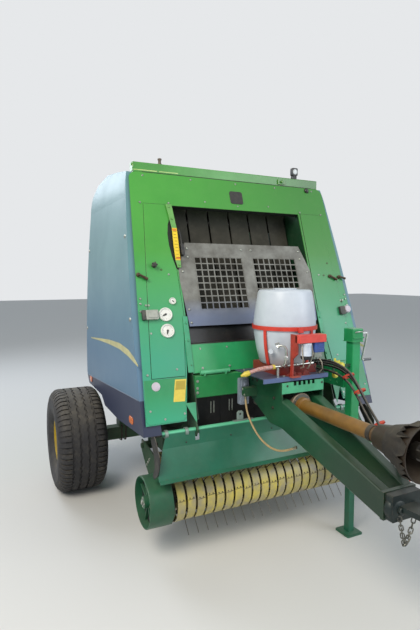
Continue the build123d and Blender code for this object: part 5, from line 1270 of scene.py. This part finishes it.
# Windguard: folded sheet on a turning tube, in the enamel of the frame, with a painted highlight in pale
# mint along its top and a painted shadow darkening it low towards the machine's left. Its lift lug stands
# on the tube, and a sickle-shaped black strap curves down beside each end.
# The first zone paints the shadow low towards the machine's left, the second a pale mint highlight along the
# top.
windguard_green = finish("windguard_green_enamel", "#216C54", "#1B5E46", 260, 0.34, dust=0.06, chips=0.7,
                         coat=0.15, zones=[("#135C2B", (0.55, 0, -1), -0.66, -0.44),
                                           ("#63C79C", (0, 0, 1), 0.93, 0.94)])
dress("windguard", windguard_green)
SICKLE = ((-0.575, 0.935), (-0.566, 0.885), (-0.632, 0.8), (-0.645, 0.73), (-0.6, 0.65), (-0.625, 0.638),
          (-0.7, 0.69), (-0.735, 0.76), (-0.735, 0.83), (-0.66, 0.915), (-0.615, 0.95))
bm = bmesh.new()
for side in SIDES:
    hung = to_side(side, 0.9295, 0, 0)
    add_plate(bm, [(side * y, z) for y, z in SICKLE], 0.006, hung)
    add_turned(bm, [(0, -0.059), (0.014, -0.059), (0.014, 0.008), (0, 0.012)],
               hung @ Matrix.Translation((side * -0.6, 0.93, 0)), 18)
add_piece("windguard_straps", bm, knob_plastic, "windguard")
bm = bmesh.new()
lug = [(-0.026, -0.005), (0.026, -0.005), (0.026, 0.06), (0.014, 0.074), (-0.014, 0.074), (-0.026, 0.06)]
add_plate(bm, lug, 0.01, to_front(-0.258, -0.595, 0.948))
add_pad(bm, (0.085, 0.014, 0.004), 0.006, to_top(-0.23, -0.6, 0.948))
for x in (-0.84, 0.84, -0.69, 0.69):
    add_sleeve(bm, 0.0202, 0.029, -0.012, 0.012, facing((x, -0.6, 0.93), (1, 0, 0)), 28)
lug_grey = finish("galvanised_lug_steel", "#8FA29C", "#788A84", 30, 0.45, metallic=0.4, dust=0.2)
add_piece("windguard_lug", bm, lug_grey, "windguard", bevel=0.001)
bm = bmesh.new()
add_disc(bm, 0.009, 0.0104, to_front(-0.258, -0.5948, 0.998), 20)
for x in (-0.7, -0.35, 0.0, 0.35, 0.7):
    add_bolt(bm, facing((x, -0.6285, 0.862), (0, -1, 0.14)), 0.006)
add_piece("windguard_bolts", bm, knob_plastic, "windguard")

# Drawbar: two box beams under console plates, welded and painted, darker towards their front end.
# Bolts with washers clamp the console to the cross beam.
drawbar_green = finish("drawbar_green_enamel", "#1B5438", "#15442C", 260, 0.34, dust=0.05,
                       chips=0.8, coat=0.15, zones=[("#0C2C1A", (0, -1, -0.3), 0.8, 1.5)])
dress("drawbar", drawbar_green)
bm = bmesh.new()
for side in SIDES:
    for y, z in ((-0.917, 1.18), (-0.906, 1.11), (-0.64, 1.2), (-0.64, 1.26), (-0.7, 1.26), (-0.8, 1.26)):
        add_bolt(bm, to_side(side, 0.173, y, z), 0.009)
for x in (-0.129, 0.158):
    add_disc(bm, 0.008, 0.0022, to_front(x, -1.008, 1.276), 20)
add_piece("drawbar_bolts", bm, oiled_iron, bevel=0.0005)
plate_bright = finish("front_plate_green_enamel", "#58BC8E", "#4CAA7E", 120, 0.36, dust=0.05, chips=0.7)
bm = bmesh.new()
notched = [(-0.1725, 1.2245), (0.1725, 1.2245), (0.1725, 1.2995)]
for notch in range(4, -1, -1):
    middle = 0.009 + (notch - 2) * 0.038
    notched += [(middle + 0.0102, 1.2995), (middle + 0.0102, 1.2742), (middle - 0.0102, 1.2742),
                (middle - 0.0102, 1.2995)]
notched += [(-0.1725, 1.2995)]
add_plate(bm, [(x, z - 1.26) for x, z in notched], 0.0012, to_front(0, -1.0081, 1.26))
add_piece("notched_plate_face", bm, plate_bright)

# Hitch: a bolted eye plate behind a rounded casting at the beams' front end, dark with grease, and
# a short safety chain of welded links that hangs from it.
hitch_iron = finish("greased_hitch_iron", "#1C2B2A", "#141F20", 60, 0.4, metallic=0.25, dust=0.1, chips=0.6)
dress("hitch", hitch_iron)
bm = bmesh.new()
at = to_front(-0.055, -1.858, 0.812)
add_turned(bm, [(0, -0.01), (0.062, -0.01), (0.066, 0.0), (0.064, 0.02), (0.052, 0.034), (0.03, 0.042),
                (0, 0.044)], at, 40)
add_turned(bm, [(0, 0.04), (0.022, 0.04), (0.022, 0.056), (0.018, 0.06), (0, 0.06)], at, 6)
for x, z in ((-0.085, 0.87), (0.085, 0.87), (-0.085, 0.77), (0.085, 0.77)):
    add_bolt(bm, to_front(x, -1.882, z), 0.012)
add_piece("hitch_casting", bm, hitch_iron, bevel=0.002)


def add_link(bm, middle, along, wide, length, half, wire, sides=8):
    """Adds a welded chain link: an oval of wire that is long one way and half as wide the other."""
    along, wide = Vector(along).normalized(), Vector(wide).normalized()
    flat = along.cross(wide)
    rings = []
    for step in range(16):
        turn = math.tau * step / 16
        bend = along * math.sin(turn) * half + wide * math.cos(turn) * half
        centre = Vector(middle) + bend + along * (length / 2 - half) * (1 if math.sin(turn) > 0 else -1)
        out = bend.normalized()
        rings.append([bm.verts.new(centre + (out * math.cos(math.tau * k / sides)
                                             + flat * math.sin(math.tau * k / sides)) * wire)
                      for k in range(sides)])
    bridge(bm, rings, closed=True)


def hang_chain(bm, points, pitch, half, wire):
    """Adds links end to end along the points, each turned a quarter from the last."""
    points = [Vector(point) for point in points]
    for k, (near, far) in enumerate(zip(points, points[1:])):
        along = far - near
        wide = along.orthogonal() if k % 2 else along.cross(along.orthogonal())
        add_link(bm, (near + far) / 2, along, wide, pitch, half, wire)


def hanging(start, end, sag, count):
    """Points of a slack chain between two places, lower in its middle by sag."""
    start, end = Vector(start), Vector(end)
    return [start.lerp(end, k / count) - Vector((0, 0, 4 * sag * (k / count) * (1 - k / count)))
            for k in range(count + 1)]


chain_zinc = finish("galvanised_chain_steel", "#6F716D", "#57584F", 10, 0.4, metallic=0.8, dust=0.25)
bm = bmesh.new()
hang_chain(bm, hanging((-0.06, -1.9, 0.78), (-0.02, -1.902, 0.62), 0.006, 7), 0.034, 0.01, 0.0034)
hang_chain(bm, hanging((-0.02, -1.902, 0.622), (0.07, -1.89, 0.78), 0.03, 8), 0.034, 0.01, 0.0034)
add_piece("safety_chain", bm, chain_zinc)

# Gearbox: grey cast iron with a split line and flange bolts. A turned collar, gone rusty, takes the
# drive shaft, and a light chain keeps the shaft's guard from turning.
SHAFT_HEIGHT = 1.13
gear_grey = finish("gearbox_cast_iron", "#6A6D68", "#55564F", 60, 0.55, metallic=0.3, dust=0.35,
                   grain=3, rise=0.4)
dress("gearbox", gear_grey)
bm = bmesh.new()
add_pad(bm, (0.118, 0.01, 0.004), 0.006, to_front(0, -0.86, 1.145))
for turn in range(8):
    angle = math.radians(22.5 + 45 * turn)
    add_bolt(bm, to_front(0.088 * math.cos(angle), -0.8602, SHAFT_HEIGHT + 0.088 * math.sin(angle)), 0.009)
add_turned(bm, [(0, 0), (0.018, 0), (0.018, 0.016), (0.012, 0.022), (0, 0.022)], to_top(0.05, -0.7, 1.25), 6)
add_piece("gearbox_bolts", bm, gear_grey, bevel=0.0008)
collar_rust = finish("rusty_collar_steel", "#A39482", "#7C6048", 25, 0.6, metallic=0.3, dust=0.12, rise=0.5)
bm = bmesh.new()
add_turned(bm, [(0.058, -0.02), (0.079, -0.02), (0.081, -0.014), (0.081, 0.006), (0.076, 0.01),
                (0.058, 0.01)], to_front(0, -0.985, SHAFT_HEIGHT), 48, closed=True)
for turn in (35, 145, 215, 325):
    angle = math.radians(turn)
    add_bolt(bm, to_front(0.068 * math.cos(angle), -0.995, SHAFT_HEIGHT + 0.068 * math.sin(angle)), 0.006)
add_piece("collar_ring", bm, collar_rust, bevel=0.0008)
bm = bmesh.new()
hang_chain(bm, hanging((-0.04, -1.004, 1.094), (-0.052, -1.002, 1.015), 0.002, 7), 0.0165, 0.0048, 0.0016)
hang_chain(bm, hanging((-0.052, -1.002, 1.016), (-0.12, -1.01, 1.05), 0.012, 6), 0.0165, 0.0048, 0.0016)
add_piece("guard_chain", bm, chain_zinc)

# Drive shaft guard: an ochre moulded tube over the shaft, brown where it is scuffed, with a black
# rubber cone whose torn edge shows at the front. The shaft ends in a greasy cross joint.
guard_ochre = finish("ochre_guard_plastic", "#8A6428", "#6E4F22", 140, 0.42, dust=0.08,
                     zones=[("#2E241C", (0, -1, 0), 1.6, 1.7)])
dress("pto_guard", guard_ochre)
dress("pto_shaft", finish("oiled_shaft_steel", "#5C5A57", "#47443F", 50, 0.4, metallic=0.85, dust=0.25))
bm = bmesh.new()
at = to_front(0, 0, SHAFT_HEIGHT)
RAGS = 60
rag_rings = []
for step in range(RAGS):
    turn = math.tau * step / RAGS
    tear = random.uniform(0.0, 0.085) * (1 if random.random() > 0.3 else 0.15)
    swell = random.uniform(-0.002, 0.004)
    along = around(1, turn)
    rag_rings.append([bm.verts.new(at @ (along * radius + Vector((0, 0, height))))
                      for radius, height in ((0.094, 1.8), (0.122, 1.89), (0.151 + swell, 1.998 - tear),
                                             (0.148 + swell, 1.998 - tear), (0.119, 1.89), (0.092, 1.8))])
bridge(bm, rag_rings, closed=True)
add_sleeve(bm, 0.044, 0.0475, 1.63, 1.66, at, 40)
cone_rubber = finish("torn_cone_rubber", "#2E2822", "#1C1A1A", 50, 0.75, dust=0.15, grain=4, rise=0.6)
add_piece("guard_cone_cover", bm, cone_rubber)
bm = bmesh.new()
for x in (-1, 1):
    for z in (-1, 1):
        add_bolt(bm, to_back(x * 0.03, -2.086, SHAFT_HEIGHT + z * 0.03), 0.006)
add_turned(bm, [(0, 0), (0.008, 0), (0.006, 0.01), (0.003, 0.014), (0, 0.014)], to_top(0, -2.028, 1.173), 12)
add_piece("joint_grease_points", bm, screw_zinc, "drive_shaft")

# Parking jack: square tube in bright enamel with a cap over its screw, a telescoping leg on a foot
# plate, and a bent crank of zinc-plated bar with a moulded grip.
JACK = (0.6, -0.83)
jack_green = finish("jack_green_enamel", "#259D61", "#1F8A50", 160, 0.36, dust=0.06, chips=0.7, coat=0.15)
jack_low = finish("jack_leg_enamel", "#1A6E52", "#155C44", 120, 0.42, dust=0.08, chips=0.7, low_dirt=0.3)
dress("jack_tube", jack_green)
dress("jack_leg", jack_low)
bm = bmesh.new()
add_pad(bm, (0.056, 0.056, 0.01), 0.005, to_top(*JACK, 1.512))
add_pad(bm, (0.05, 0.006, 0.004), 0.01, to_front(JACK[0], -0.882, 1.545))
for z in (1.18, 1.26):
    for y in (-0.64, -0.72):
        add_bolt(bm, facing((0.5446, y, z), (-1, 0, 0)), 0.01)
add_piece("jack_cap_rim", bm, jack_green, bevel=0.001)
bm = bmesh.new()
add_bar(bm, [(0.566, -0.886, 1.586), (0.575, -0.892, 1.59), (0.64, -0.892, 1.59), (0.648, -0.886, 1.586)],
        0.004)
add_turned(bm, [(0, 0), (0.016, 0), (0.016, 0.004), (0.01, 0.006), (0, 0.006)],
           facing((0.652, JACK[1], 1.57), (1, 0, 0)), 20)
add_piece("jack_pin", bm, screw_zinc)
bm = bmesh.new()
for z in (0.52, 0.44, 0.36):
    add_sleeve(bm, 0.005, 0.009, 0, 0.0004, to_front(JACK[0], -0.856, z), 16)
add_pad(bm, (0.068, 0.068, 0.014), 0.004, to_top(*JACK, 0.012))
add_piece("jack_leg_details", bm, jack_low, "jack_leg", bevel=0.0008)
crank_zinc = finish("zinc_plated_crank_bar", "#D3D6D6", "#BCC0C0", 30, 0.3, metallic=0.6, dust=0.05)
grip_grey = finish("grey_grip_plastic", "#6B7078", "#555A62", 25, 0.5, dust=0.2)
bm = bmesh.new()
crank = [(0.6525, JACK[1], 1.57), (0.728, JACK[1], 1.57), (0.738, -0.8295, 1.566), (0.7415, -0.829, 1.556),
         (0.7215, -0.802, 1.372), (0.7225, -0.8005, 1.361), (0.73, -0.8, 1.3555), (0.745, -0.8, 1.355)]
add_bar(bm, crank, 0.0085, 14)
crank_bar = add_piece("crank_bar", bm, crank_zinc, "jack_crank")
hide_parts("jack_crank")
bm = bmesh.new()
add_turned(bm, [(0, 0.736), (0.0095, 0.736), (0.0108, 0.74), (0.01, 0.765), (0.0108, 0.8), (0.0095, 0.811),
                (0, 0.8118)], facing((0, -0.8, 1.355), (1, 0, 0)), 20)
add_piece("crank_grip", bm, grip_grey, "jack_crank")

# Shelf: a folded sheet tray in slate enamel on the console, a lighter blue along its front lip.
shelf_slate = finish("slate_shelf_enamel", "#3F4763", "#353C55", 120, 0.42, dust=0.08, chips=0.5,
                     zones=[("#5A6C96", (0, -1, 0), 0.992, 0.995)])
dress("shelf", shelf_slate)
bm = bmesh.new()
for x, y in ((-0.26, -0.66), (0.16, -0.66), (-0.13, -0.97), (0.13, -0.7)):
    add_bolt(bm, to_top(x, y, 1.335), 0.007)
add_piece("shelf_bolts", bm, screw_zinc, bevel=0.0005)

# Additive tank: a rotation-moulded drum of milky white polyethylene, painted greyer low down as shade,
# with a ribbed screw lid and an outlet boss low on its front.
TANK = (0, -0.78)
tank_white = finish("white_tank_polyethylene", "#C9D2DC", "#BBC5D1", 200, 0.34, dust=0.03, grain=4, rise=0.05,
                    zones=[("#B9BCC0", (0, 0, -1), -1.52, -1.4)])
bm = bmesh.new()
add_turned(bm, [(0, 0), (0.165, 0), (0.175, 0.008), (0.198, 0.1), (0.214, 0.19), (0.221, 0.257), (0.219, 0.3),
                (0.209, 0.38), (0.191, 0.496), (0.186, 0.508), (0.176, 0.516), (0, 0.517)],
           to_top(*TANK, 1.395), 96)
moulded_tank = add_piece("moulded_tank", bm, tank_white)
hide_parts("tank")
bm = bmesh.new()
lid_at = to_top(*TANK, 1.912)
add_turned(bm, [(0, 0), (0.082, 0), (0.082, 0.006), (0.076, 0.009), (0, 0.01)], lid_at, 48)
for rib in range(12):
    turn = math.tau * rib / 12
    spot = lid_at @ Matrix.Rotation(turn, 4, "Z") @ Matrix.Translation((0.0825, 0, 0.0005))
    add_plate(bm, rounded_outline(0.0025, 0.006, 0.001, steps=1), 0.006, spot)
add_disc(bm, 0.017, 0.018, facing((-0.19, -0.905, 1.5), (-0.76, -0.65, 0)), 20)
add_piece("tank_lid", bm, tank_white, bevel=0.0008)

# Tank frame: red enamelled flat bar, a band round the drum on uprights over a low square base. Below
# about 1.4 m, on the base and the tray, the red is painted dark as shade under the drum. A clamp plate
# closes the band, and a bolted tray with upright tabs lies in front of the base.
red_enamel = finish("red_frame_enamel", "#D23F30", "#BC3326", 60, 0.38, dust=0.05, chips=0.5,
                    zones=[("#7E2A22", (0, 0, -1), -1.41, -1.392)])
dress("tank_frame", red_enamel)
bm = bmesh.new()
add_pad(bm, (0.02, 0.02, 0.003), 0.012, to_front(-0.028, -1.004, 1.646))
add_plate(bm, [(-0.11, -0.06), (0.068, -0.06), (0.068, 0.0), (-0.11, 0.0)], 0.003, to_top(0, -0.944, 1.3352))
add_plate(bm, [(-0.108, 0.0), (-0.04, 0.0), (-0.055, 0.03), (-0.098, 0.03)], 0.004, to_front(0, -0.99, 1.337))
add_plate(bm, [(0.01, 0.0), (0.062, 0.0), (0.058, 0.022), (0.02, 0.034)], 0.004, to_front(0, -0.99, 1.337))
add_plate(bm, [(-0.03, 0.0), (0.004, 0.0), (0.004, 0.016), (-0.03, 0.016)], 0.03, to_front(0, -0.955, 1.337))
for x in (-0.09, -0.01, 0.05):
    add_bolt(bm, to_top(x, -0.96, 1.338), 0.006)
add_piece("pump_tray", bm, red_enamel, bevel=0.001)

# Pump: a hood of folded red sheet over a filter with a clear bowl, a blue motor and an alloy head. It
# stands on a deep red foot on the shelf.
hood_red = finish("red_hood_enamel", "#DE4F46", "#CF423A", 80, 0.34, dust=0.04, coat=0.2)
HOOD = (0.008, -1.072, 1.569)
bm = bmesh.new()
shell = ((-0.106, 0.0), (-0.106, 0.048), (-0.102, 0.054), (0.102, 0.054), (0.106, 0.048), (0.106, 0.0),
         (0.102, 0.0), (0.102, 0.046), (0.099, 0.05), (-0.099, 0.05), (-0.102, 0.046), (-0.102, 0.0))
add_plate(bm, shell, 0.06, to_front(HOOD[0], HOOD[1] + 0.03, HOOD[2]))
end_plate = ((-0.103, 0.002), (0.103, 0.002), (0.103, 0.046), (0.099, 0.05), (-0.099, 0.05), (-0.103, 0.046))
for y in (-0.03, 0.026):
    add_plate(bm, end_plate, 0.004, to_front(HOOD[0], HOOD[1] + y + 0.004, HOOD[2]))
hood = add_piece("pump_hood", bm, hood_red, bevel=0.0015)
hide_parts("pump")
bm = bmesh.new()
foot = [(-0.037, 0), (-0.012, 0), (-0.012, 0.12), (0.038, 0.16), (0.038, 0.286), (-0.037, 0.286)]
add_plate(bm, foot, 0.012, facing((-0.086, -1.0295, 1.3355), (-1, 0, 0)))
add_pad(bm, (0.02, 0.038, 0.004), 0.004, facing((-0.08, -1.028, 1.3355), (0, 0, 1), (1, 0, 0)))
add_piece("pump_foot_plate", bm, finish("deep_red_enamel", "#B23A2C", "#8F2D22", 50, 0.42, dust=0.2,
                                        chips=0.6), bevel=0.0012)
bowl_at = facing((HOOD[0] - 0.037, HOOD[1], HOOD[2]), (0, 0, -1), (0, 1, 0))
bm = bmesh.new()
add_turned(bm, [(0, -0.04), (0.018, -0.04), (0.018, 0.0), (0.0375, 0.002), (0.0375, 0.012), (0.0355, 0.016),
                (0.0365, 0.086), (0, 0.086)], bowl_at, 40)
bowl_clear = finish("clear_filter_bowl_plastic", "#D9E2F0", "#C6D0E0", 30, 0.2, dust=0.05, coat=0.3)
add_piece("filter_bowl", bm, bowl_clear, bevel=0.0006)
bm = bmesh.new()
add_turned(bm, [(0, 0.085), (0.0375, 0.085), (0.038, 0.092), (0.034, 0.108), (0.01, 0.114), (0, 0.1155)],
           bowl_at, 40)
add_piece("filter_cap", bm, pointer_black)
bm = bmesh.new()
add_pad(bm, (0.04, 0.033, 0.005), 0.04, to_front(HOOD[0] + 0.058, HOOD[1] + 0.02, 1.536))
for fin in range(5):
    add_pad(bm, (0.0405, 0.002, 0.001, (0, -0.024 + 0.012 * fin), 1), 0.0415,
            to_front(HOOD[0] + 0.058, HOOD[1] + 0.0207, 1.536))
motor_blue = finish("blue_motor_enamel", "#35559E", "#2C4787", 30, 0.4, dust=0.15)
add_piece("pump_motor", bm, motor_blue, bevel=0.001)
bm = bmesh.new()
add_pad(bm, (0.03, 0.022, 0.004), 0.026, to_front(HOOD[0] + 0.052, HOOD[1] + 0.012, 1.493))
for x in (0.035, 0.06, 0.082):
    add_rod(bm, (x, HOOD[1], 1.477), (x, HOOD[1], 1.458), 0.006, 12)
pump_alloy = finish("pump_head_aluminium", "#9FA6A2", "#83897F", 20, 0.35, metallic=0.7, dust=0.15)
add_piece("pump_head", bm, pump_alloy, bevel=0.001)
bm = bmesh.new()
for x in (0.03, 0.078):
    add_rod(bm, (HOOD[0] + x, HOOD[1], 1.54), (HOOD[0] + x, HOOD[1], 1.6), 0.01, 16)
add_rod(bm, (HOOD[0] - 0.098, HOOD[1] + 0.01, 1.585), (HOOD[0] - 0.058, HOOD[1], 1.585), 0.007, 16)
add_piece("pump_fittings", bm, pump_alloy)

# Tank tap: a nickel-plated ball tap on the drum's outlet, whose spout joins the bar of fittings
# that lies along the shelf.
nickel = finish("nickel_plated_brass", "#C6C9C6", "#A9ABA4", 15, 0.22, metallic=0.95, dust=0.1)
bm = bmesh.new()
add_bar(bm, [(-0.178, -0.96, 1.544), (-0.16, -0.975, 1.546), (-0.142, -0.99, 1.54), (-0.134, -0.998, 1.52),
             (-0.133, -0.998, 1.47), (-0.135, -0.992, 1.43), (-0.137, -0.975, 1.408)], 0.0075, 14)
add_turned(bm, [(0, 0), (0.013, 0), (0.015, 0.006), (0.015, 0.022), (0.011, 0.028), (0, 0.028)],
           to_top(-0.1345, -0.997, 1.452), 6)
add_bar(bm, [(-0.2, -0.962, 1.556), (-0.186, -0.966, 1.562), (-0.17, -0.972, 1.562)], 0.005, 10)
add_rod(bm, (-0.178, -0.96, 1.544), (-0.156, -0.936, 1.53), 0.01, 16)
add_piece("tank_tap", bm, nickel)
bm = bmesh.new()
run_start, run_end = Vector((-0.21, -0.955, 1.402)), Vector((0.1, -0.96, 1.406))
line_at = facing(run_start, run_end - run_start)
add_turned(bm, [(0, 0), (0.0125, 0), (0.0125, 0.03), (0.009, 0.034), (0.009, 0.085), (0.014, 0.088),
                (0.014, 0.108), (0.008, 0.112), (0.008, 0.18), (0.012, 0.184), (0.012, 0.204),
                (0.0065, 0.208), (0.0065, 0.3), (0.01, 0.304), (0.01, 0.33), (0, 0.332)], line_at, 20)
for x in (-0.17, -0.05):
    add_plate(bm, [(-0.008, 0), (0.008, 0), (0.008, 0.064), (-0.008, 0.064)], 0.006,
              to_front(x, -0.952, 1.335))
add_piece("spray_line_fittings", bm, nickel, bevel=0.0006)

# Spray hose: a short clear hose with rings and a yellow nozzle at the shelf's end. Three clear lines
# and two black wires run down from the pump.
SPRAY = ((-0.21, -0.955, 1.402), (-0.275, -0.955, 1.402), (-0.33, -0.95, 1.394), (-0.385, -0.945, 1.378))
SPRAY_RIBS = 9
bm = bmesh.new()
add_bar(bm, SPRAY, 0.0125, 16)
for rib in range(SPRAY_RIBS):
    spot = Vector(SPRAY[0]).lerp(Vector(SPRAY[2]), (rib + 0.5) / SPRAY_RIBS)
    add_sleeve(bm, 0.012, 0.0148, -0.0025, 0.0025, facing(spot, Vector(SPRAY[2]) - Vector(SPRAY[0])), 16)
hose_clear = finish("clear_braided_hose", "#C9A8A8", "#A8705C", 12, 0.3, dust=0.05)
add_piece("spray_hose_end", bm, hose_clear)
bm = bmesh.new()
add_turned(bm, [(0, 0), (0.016, 0), (0.018, 0.01), (0.018, 0.034), (0.012, 0.044), (0.007, 0.062),
                (0, 0.064)], facing(SPRAY[3], Vector(SPRAY[3]) - Vector(SPRAY[2])), 20)
add_sleeve(bm, 0.009, 0.0165, 0, 0.018, facing(Vector(SPRAY[0]) + Vector((0.012, 0, 0)), (-1, 0, 0)), 20)
nozzle_yellow = finish("yellow_nozzle_plastic", "#D9C646", "#C7B23A", 20, 0.35, dust=0.15)
add_piece("spray_nozzle", bm, nozzle_yellow, bevel=0.0008)
bm = bmesh.new()
for points in (
    ((0.012, -1.072, 1.566), (0.014, -1.09, 1.5), (0.0, -1.08, 1.43), (0.02, -1.03, 1.385),
     (0.048, -0.985, 1.38)),
    ((0.08, -1.072, 1.46), (0.098, -1.078, 1.43), (0.12, -1.06, 1.385), (0.13, -1.018, 1.35),
     (0.128, -0.99, 1.34)),
    ((-0.06, -1.072, 1.585), (-0.075, -1.09, 1.54), (-0.062, -1.085, 1.46), (-0.03, -1.05, 1.405),
     (0.0, -0.975, 1.38)),
):
    add_bar(bm, points, 0.0042, 10)
line_clear = finish("clear_line_plastic", "#B9B3A6", "#8D7F6F", 12, 0.3, dust=0.15)
add_piece("pump_lines", bm, line_clear)
bm = bmesh.new()
for points in (
    ((0.06, -1.072, 1.458), (0.07, -1.082, 1.42), (0.12, -1.07, 1.37), (0.165, -1.012, 1.342),
     (0.205, -0.9, 1.339)),
    ((0.035, -1.072, 1.458), (0.03, -1.084, 1.41), (0.08, -1.07, 1.355), (0.155, -1.03, 1.3495),
     (0.2, -0.86, 1.339)),
):
    add_bar(bm, points, 0.003, 8)
add_piece("pump_wires", bm, pointer_black)

# Couplers' storage covers: yellow moulded covers on parking ports, which a bent flat bar holds out
# from the jack's tube. The bulkhead and the grease hose's bracket get their bolts here too.
PARK_Y = -0.842
bm = bmesh.new()
bar = [(0.392, 1.33), (0.392, 1.262), (0.412, 1.262), (0.412, 1.322), (0.562, 1.322), (0.562, 1.346),
       (0.4, 1.346)]
add_plate(bm, [(x, z - 1.3) for x, z in bar], 0.005, to_front(0, PARK_Y, 1.3))
add_bolt(bm, to_front(0.545, PARK_Y - 0.005, 1.334), 0.007)
add_piece("parking_bracket", bm, frame_paint, bevel=0.0008)
bm = bmesh.new()
for x, z, tilt in ((0.412, 1.358, -0.3), (0.456, 1.34, 0.15), (0.402, 1.272, -0.1)):
    at = facing((x, PARK_Y - 0.006, z), (tilt, -1, 0.3))
    add_turned(bm, [(0, -0.006), (0.012, -0.006), (0.012, 0.0), (0.021, 0.004), (0.023, 0.01), (0.022, 0.026),
                    (0.016, 0.036), (0, 0.038)], at, 24)
    add_pad(bm, (0.008, 0.016, 0.006, (0, 0.024)), 0.006, at)
cover_yellow = finish("yellow_cover_plastic", "#DFD64C", "#CDC23C", 30, 0.35, dust=0.12)
add_piece("coupler_covers", bm, cover_yellow, bevel=0.0008)
dress("hose_brackets", frame_paint)
bm = bmesh.new()
for x, z in ((0.258, 1.348), (0.372, 1.348), (0.258, 1.283), (0.372, 1.31)):
    add_bolt(bm, to_front(x, -0.572, z), 0.006)
for y, z in ((-0.664, 1.198), (-0.69, 1.162)):
    add_bolt(bm, facing((-0.273, y, z), (-1, 0, 0)), 0.006)
add_piece("bulkhead_bolts", bm, screw_zinc, bevel=0.0005)

# Work lamp: a black moulded lamp on a bent foot on the cross tube, with a ribbed housing and a
# clear lens that looks forward over the pickup.
WORK_LAMP = (0.64, 2.943)
bm = bmesh.new()
add_pad(bm, (0.03, 0.034, 0.01), 0.03, to_front(WORK_LAMP[0], 0.031, WORK_LAMP[1]))
for rib in range(5):
    add_pad(bm, (0.0025, 0.028, 0.002, (-0.02 + 0.01 * rib, 0), 1), 0.012,
            to_back(WORK_LAMP[0], 0.031, WORK_LAMP[1]))
add_pad(bm, (0.014, 0.016, 0.003), 0.04, to_front(WORK_LAMP[0], 0.046, 2.894))
add_bar(bm, [(0.612, 0.02, 2.93), (0.612, 0.02, 2.886), (0.64, 0.02, 2.8815), (0.668, 0.02, 2.886),
             (0.668, 0.02, 2.93)], 0.0035)
work_lamp = add_piece("work_lamp_housing", bm, lamp_black, bevel=0.0015)
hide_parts("work_lamp")
bm = bmesh.new()
add_turned(bm, [(0, 0), (0.024, 0), (0.024, 0.003), (0.016, 0.0055), (0, 0.0065)],
           to_front(WORK_LAMP[0], 0.001, WORK_LAMP[1]), 32)
add_piece("work_lamp_lens", bm, finish("clear_lamp_lens", "#C9D0D2", "#B7BEC0", 20, 0.1, coat=0.8, dust=0.15))
